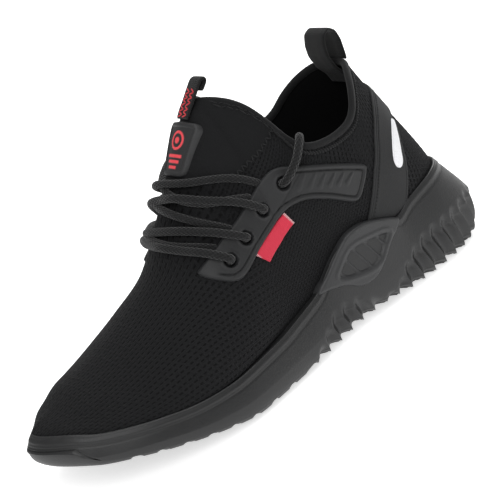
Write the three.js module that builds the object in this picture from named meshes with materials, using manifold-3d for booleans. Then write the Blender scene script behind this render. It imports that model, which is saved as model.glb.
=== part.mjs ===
// Work shoe for the left foot: a knitted safety trainer on a ribbed cup sole.
// Millimetres. +X points to the toe, +Y to the wearer's left (the outer side), +Z up, the floor is z = 0.
import * as THREE from 'three';
import { mergeVertices } from 'three/addons/utils/BufferGeometryUtils.js';
import Module from 'manifold-3d';

const wasm = await Module();
wasm.setup();

// Driving sizes
const soleLength = 298;
const ballWidth = 107;
const heelLipHeight = 51;
const tongueHeight = 143;
const clearance = 0.3;
const knitWall = 2;
const hemThickness = 0.9;
const insoleThickness = 4;
const ribPitch = 9.5;
const ribDepth = 3.6;
const ribLean = 0.45;
const ribFadeHeight = 6;
const toothRise = 3;
const edgeLift = 1.6;
const lugPitch = 13;
const grooveDepth = 2.6;
const lugBorder = 9;
const eyestayThickness = 1.8;
const eyeletDiameter = 6.2;
const heelBandThickness = 1.2;
const reflectorThickness = 0.6;
const stabilizerRaise = 1.2;
const stabilizerDepth = 7;
const windowDepth = 2.2;
const windowRibWidth = 2.6;
const laceDiameter = 4.4;
const patchThickness = 2.2;
const patchWidth = 24;
const patchFootWidth = 18;
const patchHeight = 28;
const webbingThickness = 1.6;
const heelLoopWidth = 17;
const heelLoopReach = 22;
const heelLoopInset = 3.3;
const tongueTabWidth = 10;
const tongueTabReach = 10;
const tagThickness = 0.8;
const toeDrop = 4.2;
const crownDrop = 3.2;
const toeTreadDrop = 2.6;

// Counts of columns and rows in the meshes
const collarColumns = 16;
const ridgeColumns = 8;
const toeColumns = 5;
const pointsPerRib = 2;
const pointsPerLug = 3;
const laceSides = 6;
const laceSteps = 8;

// Where the upper's columns change their duty, as shares of the way from heel to toe
const tongueTopAt = 0.476;
const toePoleAt = 0.831;
const patchAt = 0.522;

// Plan outline of the sole. at: share of the length from the heel.
// outer, inner: distance from the centre line as shares of the ball width.
const outlineTable = [
  { at: 0.00, outer: 0.000, inner: 0.000 },
  { at: 0.02, outer: 0.210, inner: 0.200 },
  { at: 0.06, outer: 0.308, inner: 0.300 },
  { at: 0.12, outer: 0.362, inner: 0.348 },
  { at: 0.20, outer: 0.382, inner: 0.357 },
  { at: 0.30, outer: 0.387, inner: 0.334 },
  { at: 0.40, outer: 0.396, inner: 0.314 },
  { at: 0.50, outer: 0.427, inner: 0.337 },
  { at: 0.60, outer: 0.474, inner: 0.402 },
  { at: 0.68, outer: 0.500, inner: 0.467 },
  { at: 0.75, outer: 0.490, inner: 0.495 },
  { at: 0.82, outer: 0.450, inner: 0.470 },
  { at: 0.88, outer: 0.390, inner: 0.372 },
  { at: 0.94, outer: 0.286, inner: 0.238 },
  { at: 0.98, outer: 0.152, inner: 0.092 },
  { at: 1.00, outer: -0.010, inner: 0.010 },
];

// Side of the sole. at: share of the length. bottom, belly, lip, split, ribTop: heights as shares of the
// heel lip's height, where belly is the widest level, split parts the tread from the midsole and
// ribTop is the upper edge of the ribbed scoops. lipIn, bottomIn: insets as shares of the ball width.
const soleTable = [
  sideOf(0.000, 0.078, 0.490, 1.000, 0.186, 0.630, 0.173, 0.045),
  sideOf(0.020, 0.040, 0.490, 1.000, 0.147, 0.620, 0.152, 0.035),
  sideOf(0.060, 0.010, 0.490, 0.992, 0.118, 0.610, 0.117, 0.042),
  sideOf(0.120, 0.000, 0.470, 0.975, 0.110, 0.590, 0.080, 0.042),
  sideOf(0.200, 0.000, 0.430, 0.905, 0.110, 0.570, 0.058, 0.042),
  sideOf(0.240, 0.000, 0.390, 0.830, 0.110, 0.490, 0.040, 0.042),
  sideOf(0.265, 0.010, 0.370, 0.885, 0.120, 0.410, 0.032, 0.042),
  sideOf(0.300, 0.040, 0.360, 0.965, 0.147, 0.235, 0.029, 0.042),
  sideOf(0.332, 0.050, 0.350, 1.000, 0.157, 0.235, 0.028, 0.042),
  sideOf(0.366, 0.050, 0.350, 0.980, 0.157, 0.333, 0.029, 0.042),
  sideOf(0.400, 0.040, 0.333, 0.902, 0.147, 0.431, 0.032, 0.042),
  sideOf(0.433, 0.020, 0.314, 0.765, 0.127, 0.451, 0.037, 0.042),
  sideOf(0.463, 0.010, 0.294, 0.647, 0.118, 0.412, 0.040, 0.042),
  sideOf(0.500, 0.000, 0.275, 0.588, 0.110, 0.255, 0.040, 0.042),
  sideOf(0.533, 0.000, 0.265, 0.549, 0.110, 0.118, 0.040, 0.042),
  sideOf(0.567, 0.000, 0.255, 0.520, 0.110, 0.000, 0.038, 0.042),
  sideOf(0.660, 0.000, 0.255, 0.508, 0.110, 0.000, 0.036, 0.042),
  sideOf(0.700, 0.030, 0.270, 0.512, 0.137, 0.000, 0.036, 0.042),
  sideOf(0.768, 0.118, 0.330, 0.552, 0.225, 0.000, 0.036, 0.044),
  sideOf(0.835, 0.225, 0.420, 0.622, 0.333, 0.000, 0.036, 0.040),
  sideOf(0.886, 0.300, 0.480, 0.672, 0.412, 0.000, 0.036, 0.045),
  sideOf(0.930, 0.343, 0.520, 0.720, 0.475, 0.000, 0.036, 0.050),
  sideOf(0.960, 0.362, 0.540, 0.770, 0.590, 0.000, 0.036, 0.056),
  sideOf(0.985, 0.378, 0.570, 0.788, 0.640, 0.000, 0.036, 0.062),
  sideOf(1.000, 0.385, 0.580, 0.788, 0.648, 0.000, 0.036, 0.070),
];

function sideOf(at, bottom, belly, lip, split, ribTop, lipIn, bottomIn) {
  return { at, bottom, belly, lip, split, ribTop, lipIn, bottomIn };
}

// Sections of the upper from heel to toe. at: share of the way along the outline. inset and floor place
// the foot of a section: inset as a share of the ball width, floor as a share of the heel lip's height.
// topX is a share of the length, swing and topY of the ball width, topZ of the tongue's height: the end
// of a section at the collar or on the ridge. rise, flare, drop and spread are the two handles of its
// curve: heights as shares of the tongue's height, widths of the ball width. turn: degrees, the way the
// section leaves its top, -90 to the heel, 0 to the side, 90 to the toe.
const upperTable = [
  section(0.000, 0.150, 0.686, 0.166, 0.000, 0.000, 0.860, 0.154, -0.034, 0.175, 0.090, -90),
  section(0.046, 0.142, 0.686, 0.173, 0.000, 0.065, 0.860, 0.160, -0.026, 0.175, 0.086, -74),
  section(0.097, 0.124, 0.682, 0.190, 0.000, 0.131, 0.857, 0.170, -0.008, 0.175, 0.074, -52),
  section(0.149, 0.106, 0.674, 0.216, 0.000, 0.220, 0.820, 0.180, 0.008, 0.178, 0.056, -30),
  section(0.195, 0.094, 0.664, 0.242, 0.000, 0.286, 0.768, 0.186, 0.022, 0.175, 0.040, -14),
  section(0.229, 0.088, 0.654, 0.262, 0.000, 0.310, 0.728, 0.190, 0.032, 0.170, 0.032, -6),
  section(0.258, 0.086, 0.642, 0.287, 0.000, 0.321, 0.710, 0.193, 0.040, 0.166, 0.028, 0),
  section(0.298, 0.084, 0.630, 0.319, 0.000, 0.325, 0.704, 0.196, 0.046, 0.164, 0.027, 0),
  section(0.332, 0.084, 0.616, 0.352, 0.000, 0.323, 0.710, 0.203, 0.050, 0.160, 0.030, 0),
  section(0.361, 0.084, 0.604, 0.379, 0.000, 0.312, 0.730, 0.217, 0.052, 0.156, 0.042, 0),
  section(0.384, 0.084, 0.594, 0.398, 0.000, 0.280, 0.772, 0.236, 0.054, 0.150, 0.072, 0),
  section(0.407, 0.084, 0.584, 0.411, -0.004, 0.232, 0.845, 0.252, 0.055, 0.142, 0.110, 0),
  section(0.430, 0.084, 0.573, 0.427, -0.012, 0.170, 0.920, 0.260, 0.056, 0.130, 0.145, 0),
  section(0.453, 0.084, 0.562, 0.450, -0.024, 0.095, 0.972, 0.256, 0.056, 0.110, 0.190, 0),
  section(0.476, 0.084, 0.550, 0.480, -0.034, 0.000, 1.000, 0.246, 0.056, 0.080, 0.228, 0),
  section(0.504, 0.084, 0.532, 0.514, -0.037, 0.000, 0.932, 0.222, 0.056, 0.055, 0.224, 0),
  section(0.544, 0.083, 0.508, 0.565, -0.037, 0.000, 0.792, 0.188, 0.056, 0.036, 0.226, 0),
  section(0.585, 0.081, 0.486, 0.614, -0.037, 0.000, 0.668, 0.166, 0.058, 0.022, 0.232, 0),
  section(0.630, 0.079, 0.470, 0.668, -0.037, 0.000, 0.527, 0.150, 0.060, 0.012, 0.243, 0),
  section(0.682, 0.079, 0.466, 0.735, -0.039, 0.000, 0.463, 0.132, 0.060, 0.008, 0.240, 0),
  section(0.734, 0.079, 0.482, 0.802, -0.041, 0.000, 0.422, 0.115, 0.062, 0.007, 0.225, 0),
  section(0.785, 0.080, 0.512, 0.859, -0.040, 0.000, 0.392, 0.106, 0.062, 0.007, 0.200, 0),
  section(0.831, 0.081, 0.540, 0.896, -0.040, 0.000, 0.376, 0.104, 0.060, 0.006, 0.180, 0),
  section(0.877, 0.083, 0.556, 0.896, -0.040, 0.000, 0.376, 0.110, 0.064, 0.030, 0.160, 30),
  section(0.923, 0.084, 0.566, 0.896, -0.040, 0.000, 0.376, 0.120, 0.068, 0.050, 0.142, 57),
  section(0.963, 0.084, 0.570, 0.896, -0.040, 0.000, 0.376, 0.128, 0.072, 0.060, 0.134, 76),
  section(1.000, 0.084, 0.570, 0.896, -0.040, 0.000, 0.376, 0.132, 0.074, 0.062, 0.131, 90),
];

// Rows up each section, as shares from its foot to its top
const sectionRows = [0, 0.12, 0.26, 0.4, 0.54, 0.68, 0.82, 0.94, 1];
const hemRow = 0.93;

function section(at, inset, floor, topX, swing, topY, topZ, rise, flare, drop, spread, turn) {
  return { at, inset, floor, topX, swing, topY, topZ, rise, flare, drop, spread, turn };
}

// Smooth curve through one column of a table (cubic pieces with slopes from the neighbours)
function follow(table, column, at, key = (row) => row.at) {
  const last = table.length - 1;
  let low = 0;
  while (low < last - 1 && at > key(table[low + 1])) low += 1;
  const slope = (i) => {
    const before = table[Math.max(i - 1, 0)];
    const after = table[Math.min(i + 1, last)];
    return (after[column] - before[column]) / (key(after) - key(before));
  };
  const a = table[low];
  const b = table[low + 1];
  const width = key(b) - key(a);
  const t = THREE.MathUtils.clamp((at - key(a)) / width, 0, 1);
  const rest = 1 - t;
  const start = a[column] * (1 + 2 * t) * rest * rest + slope(low) * width * t * rest * rest;
  return start + b[column] * (3 - 2 * t) * t * t - slope(low + 1) * width * rest * t * t;
}

// The outline as a path from heel to toe along one side; round ends come from stepping by an angle
function makeOutline(side) {
  const steps = 240;
  const angleOf = (row) => Math.acos(1 - 2 * row.at) / Math.PI;
  const column = side > 0 ? 'outer' : 'inner';
  const points = [];
  for (let i = 0; i <= steps; i += 1) {
    const turn = i / steps;
    const x = soleLength * (0.5 - 0.5 * Math.cos(Math.PI * turn)) - soleLength / 2;
    const y = side * ballWidth * follow(outlineTable, column, turn, angleOf);
    points.push(new THREE.Vector2(x, y));
  }
  const reach = [0];
  for (let i = 1; i <= steps; i += 1) reach.push(reach[i - 1] + points[i].distanceTo(points[i - 1]));
  return { points, reach, length: reach[steps] };
}

const outlines = { 1: makeOutline(1), '-1': makeOutline(-1) };

// Point and outward direction at a share of the way along the outline of one side
function outlineAt(side, at) {
  const { points, reach, length } = outlines[side];
  const distance = THREE.MathUtils.clamp(at, 0, 1) * length;
  let i = 1;
  while (i < reach.length - 1 && reach[i] < distance) i += 1;
  const t = (distance - reach[i - 1]) / (reach[i] - reach[i - 1]);
  const spot = points[i - 1].clone().lerp(points[i], t);
  const before = points[Math.max(i - 2, 0)];
  const after = points[Math.min(i + 1, points.length - 1)];
  const along = after.clone().sub(before).normalize();
  const outward = new THREE.Vector2(-along.y * side, along.x * side);
  if (at <= 0) outward.set(-1, 0);
  if (at >= 1) outward.set(1, 0);
  return { spot, outward };
}

const lengthShare = (x) => THREE.MathUtils.clamp(x / soleLength + 0.5, 0, 1);
const fromShare = (share) => (share - 0.5) * soleLength;
const soleHeight = (column, x) => heelLipHeight * follow(soleTable, column, lengthShare(x));
const soleInset = (column, x) => ballWidth * follow(soleTable, column, lengthShare(x));

// Point of the upper's outer face without any offset: a cubic curve from the feather line to the top
function upperCurve(side, at, up) {
  const value = (column) => follow(upperTable, column, at);
  const { spot, outward } = outlineAt(side, at);
  const inset = ballWidth * value('inset');
  const foot = new THREE.Vector3(spot.x - outward.x * inset, spot.y - outward.y * inset,
    heelLipHeight * value('floor'));
  const topValue = (column) => follow(upperTable, column, Math.min(at, toePoleAt));
  const halfGap = at < tongueTopAt ? ballWidth * value('topY') : 0;
  const top = new THREE.Vector3(fromShare(topValue('topX')), ballWidth * topValue('swing') + side * halfGap,
    tongueHeight * topValue('topZ'));
  const flare = ballWidth * value('flare');
  const spread = ballWidth * value('spread');
  const turn = THREE.MathUtils.degToRad(value('turn'));
  const low = foot.clone().add(new THREE.Vector3(outward.x * flare, outward.y * flare,
    tongueHeight * value('rise')));
  const high = top.clone().add(new THREE.Vector3(Math.sin(turn) * spread, side * Math.cos(turn) * spread,
    -tongueHeight * value('drop')));
  return new THREE.CubicBezierCurve3(foot, low, high, top).getPoint(up);
}

// Outward direction of the upper's face, from two short steps along it. On the ridge and at the toe's
// pole it comes from the ridge line alone, so that both sides share it.
function upperNormal(side, at, up) {
  const step = 0.004;
  if (up > 1 - step && at >= tongueTopAt) {
    const a = THREE.MathUtils.clamp(at, tongueTopAt + step, toePoleAt - step);
    const along = upperCurve(1, a + step, 1).sub(upperCurve(1, a - step, 1));
    return new THREE.Vector3(-along.z, 0, along.x).normalize();
  }
  const a = THREE.MathUtils.clamp(at, step, 1 - step);
  const v = THREE.MathUtils.clamp(up, step, 1 - step);
  const along = upperCurve(side, a + step, v).sub(upperCurve(side, a - step, v));
  const upward = upperCurve(side, a, v + step).sub(upperCurve(side, a, v - step));
  const normal = along.cross(upward).multiplyScalar(-side);
  if (at <= 0 || at >= 1) normal.y = 0;
  return normal.normalize();
}

// The foot of every section stays on its floor at any offset, so that it stands flat on the sole
function upperPoint(side, at, up, offset) {
  const point = upperCurve(side, at, up);
  const floor = point.z;
  point.add(upperNormal(side, at, up).multiplyScalar(offset));
  if (up <= 0) point.z = floor;
  return point;
}

function spaced(from, to, count) {
  return Array.from({ length: count }, (_, i) => from + ((to - from) * i) / count);
}

const upperColumns = [
  ...spaced(0, tongueTopAt, collarColumns),
  ...spaced(tongueTopAt, toePoleAt, ridgeColumns),
  ...spaced(toePoleAt, 1, toeColumns),
  1,
];

// A ring of points round the shoe: the outer side from heel to toe, then the inner side back
function ringOf(columns, pointAt) {
  const last = columns.length - 1;
  const outer = columns.map((at, i) => pointAt(1, at, i));
  const inner = columns.map((at, i) => pointAt(-1, at, i)).slice(1, last).reverse();
  return [...outer, ...inner];
}

// Closed solid from rings of equal length, listed so that each ring follows the one before it on the
// surface. closed: the last ring joins the first; otherwise both ends get strips across the shoe.
function ringGeometry(rings, { closed = false, openAcross = () => true } = {}) {
  const size = rings[0].length;
  const half = size / 2;
  const positions = [];
  rings.forEach((ring) => ring.forEach((point) => positions.push(point.x, point.y, point.z)));
  const faces = [];
  const quad = (a, b, c, d) => faces.push(a, b, c, a, c, d);
  const bands = closed ? rings.length : rings.length - 1;
  for (let k = 0; k < bands; k += 1) {
    const below = k * size;
    const above = ((k + 1) % rings.length) * size;
    for (let i = 0; i < size; i += 1) {
      const next = (i + 1) % size;
      if (openAcross(k, i < half ? i : size - 1 - i)) quad(below + next, below + i, above + i, above + next);
    }
  }
  if (!closed) {
    const top = (rings.length - 1) * size;
    for (let i = 0; i < half; i += 1) {
      const mate = (size - i) % size;
      const nextMate = size - i - 1;
      quad(i, i + 1, nextMate, mate);
      quad(top + i, top + mate, top + nextMate, top + i + 1);
    }
  }
  return geometryFrom(positions, faces);
}

// Merged geometry without the faces that have shrunk to a line
function geometryFrom(positions, faces) {
  const raw = new THREE.BufferGeometry();
  raw.setAttribute('position', new THREE.Float32BufferAttribute(positions, 3));
  raw.setIndex(faces);
  const merged = mergeVertices(raw, 1e-3);
  const kept = [];
  const index = merged.index.array;
  for (let i = 0; i < index.length; i += 3) {
    const [a, b, c] = index.subarray(i, i + 3);
    if (a !== b && b !== c && a !== c) kept.push(a, b, c);
  }
  merged.setIndex(kept);
  return merged;
}

// Booleans: a closed geometry becomes a solid, and a solid becomes a geometry again
function toSolid(geometry) {
  const bare = geometry.clone();
  bare.deleteAttribute('normal');
  bare.deleteAttribute('uv');
  const merged = mergeVertices(bare, 1e-4);
  const mesh = new wasm.Mesh({
    numProp: 3,
    vertProperties: Float32Array.from(merged.attributes.position.array),
    triVerts: Uint32Array.from(merged.index.array),
  });
  return new wasm.Manifold(mesh);
}

function toGeometry(solid) {
  const mesh = solid.getMesh();
  const geometry = new THREE.BufferGeometry();
  geometry.setAttribute('position', new THREE.Float32BufferAttribute(mesh.vertProperties, 3));
  geometry.setIndex(Array.from(mesh.triVerts));
  return geometry;
}

// The room inside the upper's face, grown by an offset, its floor lowered by sink
function upperForm(offset, sink = 0) {
  const rings = sectionRows.map((up, k) => ringOf(upperColumns, (side, at) => {
    const point = upperPoint(side, at, up, offset);
    if (k === 0) point.z -= sink;
    return point;
  }));
  return toSolid(ringGeometry(rings));
}

// The knitted upper: outer face, hem step at the collar, inner face; open at the collar and underneath
function makeUpper() {
  const hemmed = (at, up) => (at < tongueTopAt && up > hemRow ? hemThickness : 0);
  const outer = sectionRows.map((up) => ringOf(upperColumns, (side, at) => (
    upperPoint(side, at, up, hemmed(at, up)))));
  const inner = sectionRows.map((up) => ringOf(upperColumns, (side, at) => (
    upperPoint(side, at, up, -knitWall)))).reverse();
  const rimBand = sectionRows.length - 1;
  const geometry = ringGeometry([...outer, ...inner], {
    closed: true,
    openAcross: (band, column) => band !== rimBand || column < collarColumns,
  });
  return geometry;
}

// Share up a section at which it stands a given height above its foot
function shareAtHeight(side, at, height) {
  const foot = upperCurve(side, at, 0).z;
  let low = 0;
  let high = 0.5;
  for (let i = 0; i < 24; i += 1) {
    const middle = (low + high) / 2;
    if (upperCurve(side, at, middle).z - foot < height) low = middle;
    else high = middle;
  }
  return low;
}

function makeInsole() {
  const room = -(knitWall + clearance);
  const bottom = ringOf(upperColumns, (side, at) => upperPoint(side, at, 0, room));
  const top = ringOf(upperColumns, (side, at) => (
    upperPoint(side, at, shareAtHeight(side, at, insoleThickness), room)));
  return ringGeometry([bottom, top]);
}

// Point of the sole's side. at: share of the way along the outline. level: 0 at the tread's edge, 1 at
// the split, 2 at the widest level, 3 at the lip. The ribs lean, so lower levels lie nearer the heel.
function soleLevel(x, level) {
  const bottom = Math.max(soleHeight('bottom', x), 0);
  const split = soleHeight('split', x);
  const belly = Math.max(soleHeight('belly', x), split + 4 * clearance);
  const lip = soleHeight('lip', x);
  if (level <= 1) return THREE.MathUtils.lerp(bottom, split, level);
  if (level <= 2) return THREE.MathUtils.lerp(split, belly, level - 1);
  return THREE.MathUtils.lerp(belly, lip, level - 2);
}

const ribEndAt = 0.555;
const lugEndAt = 0.86;
const leanStart = 0.09;

function ribShare(at) {
  const phase = (at * outlines[1].length) / ribPitch;
  return Math.sin(Math.PI * (phase - Math.floor(phase + 1e-6)));
}

function solePoint(side, at, level, offset, { lift = 0, ribbed = true } = {}) {
  const straight = outlineAt(side, at).spot;
  const lean = ribLean * THREE.MathUtils.smoothstep(at, 0, leanStart)
    * (1 - THREE.MathUtils.smoothstep(at, ribEndAt - leanStart, ribEndAt + leanStart));
  const height = Math.min(soleLevel(straight.x, level), soleLevel(straight.x, 2));
  const leaning = at + (lean * (height - heelLipHeight / 4)) / outlines[side].length;
  const { spot, outward } = outlineAt(side, at <= 0 || at >= 1 ? at : leaning);
  const z = soleLevel(spot.x, level);
  const belly = soleLevel(spot.x, 2);
  const inset = z < belly
    ? soleInset('bottomIn', spot.x) * ((belly - z) / (belly - soleLevel(spot.x, 0))) ** 3
    : soleInset('lipIn', spot.x) * ((z - belly) / (soleLevel(spot.x, 3) - belly)) ** 1.15;
  const fade = THREE.MathUtils.clamp((soleHeight('ribTop', spot.x) - z) / ribFadeHeight, 0, 1);
  const reach = offset - inset - (ribbed ? ribDepth * fade * ribShare(at) : 0);
  return new THREE.Vector3(spot.x + outward.x * reach, spot.y + outward.y * reach, z + lift);
}

// Columns of the sole: several to a rib and to a lug, wider apart round the toe
const ribCount = Math.round((ribEndAt * outlines[1].length) / ribPitch);
const ribRegionEnd = (ribCount * ribPitch) / outlines[1].length;
const lugCount = Math.floor(((lugEndAt - ribRegionEnd) * outlines[1].length) / lugPitch);
const lugRegionEnd = ribRegionEnd + (lugCount * lugPitch) / outlines[1].length;
const soleColumns = [
  ...spaced(0, ribRegionEnd, ribCount * pointsPerRib),
  ...spaced(ribRegionEnd, lugRegionEnd, lugCount * pointsPerLug),
  ...spaced(lugRegionEnd, 1, toeColumns * 2),
  1,
];

const sideLevels = [1, 1.6, 2, 2.5, 3];
const coreLevels = [1, 2, 3];
const smoothLevels = [1, 2, 2.5, 3];

// Ring at the split inside the border, where the ribs no longer reach
function splitCore(lift) {
  return ringOf(soleColumns, (side, at) => solePoint(side, at, 1, -lugBorder, { lift, ribbed: false }));
}

// The room inside the sole's side, grown by an offset, from the split up
function soleForm(offset, levels = sideLevels, ribbed = true) {
  const lift = clearance;
  const rings = levels.map((level, k) => ringOf(soleColumns, (side, at) => (
    solePoint(side, at, level, offset, { lift: k === 0 ? lift : 0, ribbed }))));
  return toSolid(ringGeometry([splitCore(lift), ...rings]));
}

// Depth of the tread at a column: 0 on a lug, 1 in a groove
function grooveShare(at) {
  const distance = at * outlines[1].length;
  const start = ribCount * ribPitch;
  const pitch = distance < start - 1e-6 ? ribPitch : lugPitch;
  const phase = (distance < start - 1e-6 ? distance : distance - start) / pitch;
  const share = phase - Math.floor(phase + 1e-6);
  return at < lugRegionEnd && share > 0.6 ? 1 : 0;
}

function makeOutsole(room) {
  const tread = ringOf(soleColumns, (side, at) => {
    const edge = solePoint(side, at, 0, -lugBorder, { ribbed: false });
    edge.z += grooveDepth * (at <= 0 || at >= 1 ? 0 : grooveShare(at));
    return edge;
  });
  const rim = ringOf(soleColumns, (side, at) => {
    const edge = solePoint(side, at, 0, 0);
    edge.z += edgeLift + (at < ribRegionEnd ? toothRise * ribShare(at) : grooveDepth * grooveShare(at));
    return edge;
  });
  const lift = -clearance;
  const split = ringOf(soleColumns, (side, at) => solePoint(side, at, 1, 0, { lift }));
  const slab = toSolid(ringGeometry([tread, rim, split, splitCore(lift)]));
  return toGeometry(slab.subtract(room));
}

// Prism that stands on an outline in the side view and reaches across the shoe from y0 to y1
function sidePrism(outline, y0, y1) {
  const shape = new THREE.Shape(outline);
  const geometry = new THREE.ExtrudeGeometry(shape, { depth: y1 - y0, bevelEnabled: false });
  geometry.rotateX(Math.PI / 2);
  geometry.translate(0, y1, 0);
  return toSolid(geometry);
}

// Outline points given as shares of the length and of a height
function sideOutline(rows, height) {
  return rows.map(({ x, z }) => new THREE.Vector2(fromShare(x), z * height));
}

// The outline moved outwards by a distance (its points run anticlockwise)
function grown(outline, distance) {
  const count = outline.length;
  return outline.map((point, i) => {
    const before = point.clone().sub(outline[(i + count - 1) % count]).normalize();
    const after = outline[(i + 1) % count].clone().sub(point).normalize();
    const bisector = new THREE.Vector2(before.y + after.y, -before.x - after.x).normalize();
    const across = new THREE.Vector2(before.y, -before.x);
    return point.clone().addScaledVector(bisector, distance / Math.max(bisector.dot(across), 0.5));
  });
}

// Stabilizer on the waist: x share of the length, z share of the heel lip's height, anticlockwise
const stabilizerRows = [
  { x: 0.463, z: 0.653 }, { x: 0.433, z: 0.775 }, { x: 0.400, z: 0.914 }, { x: 0.366, z: 1.018 },
  { x: 0.332, z: 1.036 }, { x: 0.299, z: 0.986 }, { x: 0.262, z: 0.896 }, { x: 0.242, z: 0.820 },
  { x: 0.282, z: 0.675 }, { x: 0.309, z: 0.549 }, { x: 0.332, z: 0.468 }, { x: 0.356, z: 0.445 },
  { x: 0.379, z: 0.472 }, { x: 0.406, z: 0.567 }, { x: 0.436, z: 0.621 },
];
const windowRows = [
  { x: 0.413, z: 0.675 }, { x: 0.395, z: 0.784 }, { x: 0.370, z: 0.865 }, { x: 0.330, z: 0.856 },
  { x: 0.280, z: 0.784 }, { x: 0.300, z: 0.675 }, { x: 0.318, z: 0.590 }, { x: 0.350, z: 0.567 },
];
const windowRibs = [0.302, 0.330, 0.358, 0.384];

function makeStabilizer(side, room, outside) {
  const span = side > 0 ? [ballWidth * 0.25, ballWidth] : [-ballWidth, -ballWidth * 0.25];
  const outline = sideOutline(stabilizerRows, heelLipHeight);
  const inner = soleForm(-stabilizerDepth, coreLevels);
  let plate = sidePrism(outline, ...span).intersect(outside).subtract(inner).subtract(room);
  const bars = windowRibs.map((x) => {
    const foot = new THREE.Vector2(fromShare(x), heelLipHeight * 0.46);
    const lean = heelLipHeight * 0.26;
    return sidePrism([
      foot, foot.clone().add(new THREE.Vector2(windowRibWidth, 0)),
      new THREE.Vector2(foot.x + windowRibWidth + lean, heelLipHeight * 0.95),
      new THREE.Vector2(foot.x + lean, heelLipHeight * 0.95),
    ], ...span);
  });
  let recess = sidePrism(sideOutline(windowRows, heelLipHeight), ...span);
  recess = recess.subtract(soleForm(stabilizerRaise - windowDepth, smoothLevels, false));
  bars.forEach((bar) => {
    recess = recess.subtract(bar.intersect(soleForm(0, smoothLevels, false)));
  });
  plate = plate.subtract(recess);
  return largestBody(plate);
}

function largestBody(solid) {
  const bodies = solid.decompose();
  return bodies.reduce((best, body) => (body.volume() > best.volume() ? body : best), bodies[0]);
}

function makeMidsole(room) {
  const hole = sideOutline(stabilizerRows, heelLipHeight);
  const reach = ballWidth * 0.25 - clearance;
  const pocket = grown(hole, clearance);
  const pockets = [[reach, ballWidth], [-ballWidth, -reach]].map(([y0, y1]) => (
    sidePrism(pocket, y0, y1).subtract(soleForm(-stabilizerDepth - clearance, coreLevels))));
  let cup = soleForm(0).subtract(room);
  pockets.forEach((cut) => {
    cup = cup.subtract(cut);
  });
  return largestBody(cup);
}

// Eyestay: x share of the length, z share of the tongue's height, anticlockwise from its front corner
const eyestayRows = [
  { x: 0.636, z: 0.506 }, { x: 0.628, z: 0.520 }, { x: 0.582, z: 0.568 }, { x: 0.543, z: 0.606 },
  { x: 0.498, z: 0.657 }, { x: 0.458, z: 0.702 }, { x: 0.438, z: 0.706 }, { x: 0.413, z: 0.688 },
  { x: 0.350, z: 0.634 }, { x: 0.284, z: 0.566 }, { x: 0.276, z: 0.545 }, { x: 0.303, z: 0.468 },
  { x: 0.318, z: 0.452 }, { x: 0.332, z: 0.462 }, { x: 0.375, z: 0.519 }, { x: 0.415, z: 0.558 },
  { x: 0.450, z: 0.563 }, { x: 0.479, z: 0.540 }, { x: 0.527, z: 0.493 }, { x: 0.574, z: 0.443 },
  { x: 0.598, z: 0.441 }, { x: 0.630, z: 0.484 },
];

// Eyelets from the front one up, and the places between them where the lace goes under the throat's edge
const eyeletRows = [
  { x: 0.585, z: 0.503, over: true }, { x: 0.543, z: 0.543, over: true },
  { x: 0.493, z: 0.598, over: true }, { x: 0.441, z: 0.650, over: true },
];
const throatRows = [
  { x: 0.607, z: 0.572 }, { x: 0.569, z: 0.612 }, { x: 0.520, z: 0.668 }, { x: 0.486, z: 0.702 },
];
const lowerRuns = [
  [eyeletRows[0], 0.607, eyeletRows[0]],
  [eyeletRows[1], 0.591, throatRows[0]],
  [throatRows[0], 0.600, eyeletRows[1]],
];
const upperRuns = [
  [eyeletRows[2], 0.563, throatRows[1]],
  [throatRows[1], 0.572, eyeletRows[2]],
  [throatRows[3], 0.552, throatRows[2]],
  [throatRows[2], 0.558, eyeletRows[3]],
];

// Heel band over the achilles, and the reflector on it; the same shares, anticlockwise
const heelBandRows = [
  { x: 0.316, z: 0.290 }, { x: 0.305, z: 0.349 }, { x: 0.275, z: 0.453 }, { x: 0.255, z: 0.527 },
  { x: 0.233, z: 0.609 }, { x: 0.209, z: 0.665 }, { x: 0.187, z: 0.702 }, { x: 0.160, z: 0.728 },
  { x: 0.120, z: 0.742 }, { x: 0.020, z: 0.750 }, { x: 0.020, z: 0.640 }, { x: 0.125, z: 0.634 },
  { x: 0.144, z: 0.612 }, { x: 0.152, z: 0.574 }, { x: 0.166, z: 0.519 }, { x: 0.174, z: 0.464 },
  { x: 0.185, z: 0.399 }, { x: 0.201, z: 0.330 }, { x: 0.204, z: 0.280 },
];
const reflectorRows = [
  { x: 0.159, z: 0.612 }, { x: 0.170, z: 0.602 }, { x: 0.186, z: 0.577 }, { x: 0.203, z: 0.535 },
  { x: 0.210, z: 0.497 }, { x: 0.207, z: 0.470 }, { x: 0.198, z: 0.459 }, { x: 0.189, z: 0.471 },
  { x: 0.180, z: 0.513 }, { x: 0.166, z: 0.566 }, { x: 0.156, z: 0.600 },
];
const tagRows = [
  { x: 0.545, z: 0.482 }, { x: 0.461, z: 0.556 }, { x: 0.452, z: 0.508 }, { x: 0.526, z: 0.434 },
];

// Where the upper's outer face stands at a place in the side view: its two shares
function findOnUpper(side, { x, z }) {
  const goal = new THREE.Vector2(fromShare(x), z * tongueHeight);
  let best = { at: 0.5, up: 0.5, miss: Infinity };
  let step = 0.08;
  const tryAt = (at, up) => {
    const point = upperCurve(side, at, up);
    const miss = Math.hypot(point.x - goal.x, point.z - goal.y);
    if (miss < best.miss) best = { at, up, miss };
  };
  for (let at = 0.1; at < 0.8; at += 0.05) {
    for (let up = 0.1; up < 1; up += 0.1) tryAt(at, up);
  }
  for (let round = 0; round < 12; round += 1) {
    const { at, up } = best;
    for (const [a, b] of [[-1, 0], [1, 0], [0, -1], [0, 1], [-1, 1], [1, -1], [1, 1], [-1, -1]]) {
      tryAt(at + a * step, THREE.MathUtils.clamp(up + b * step, 0.02, 0.98));
    }
    step *= 0.68;
  }
  return best;
}

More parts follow.
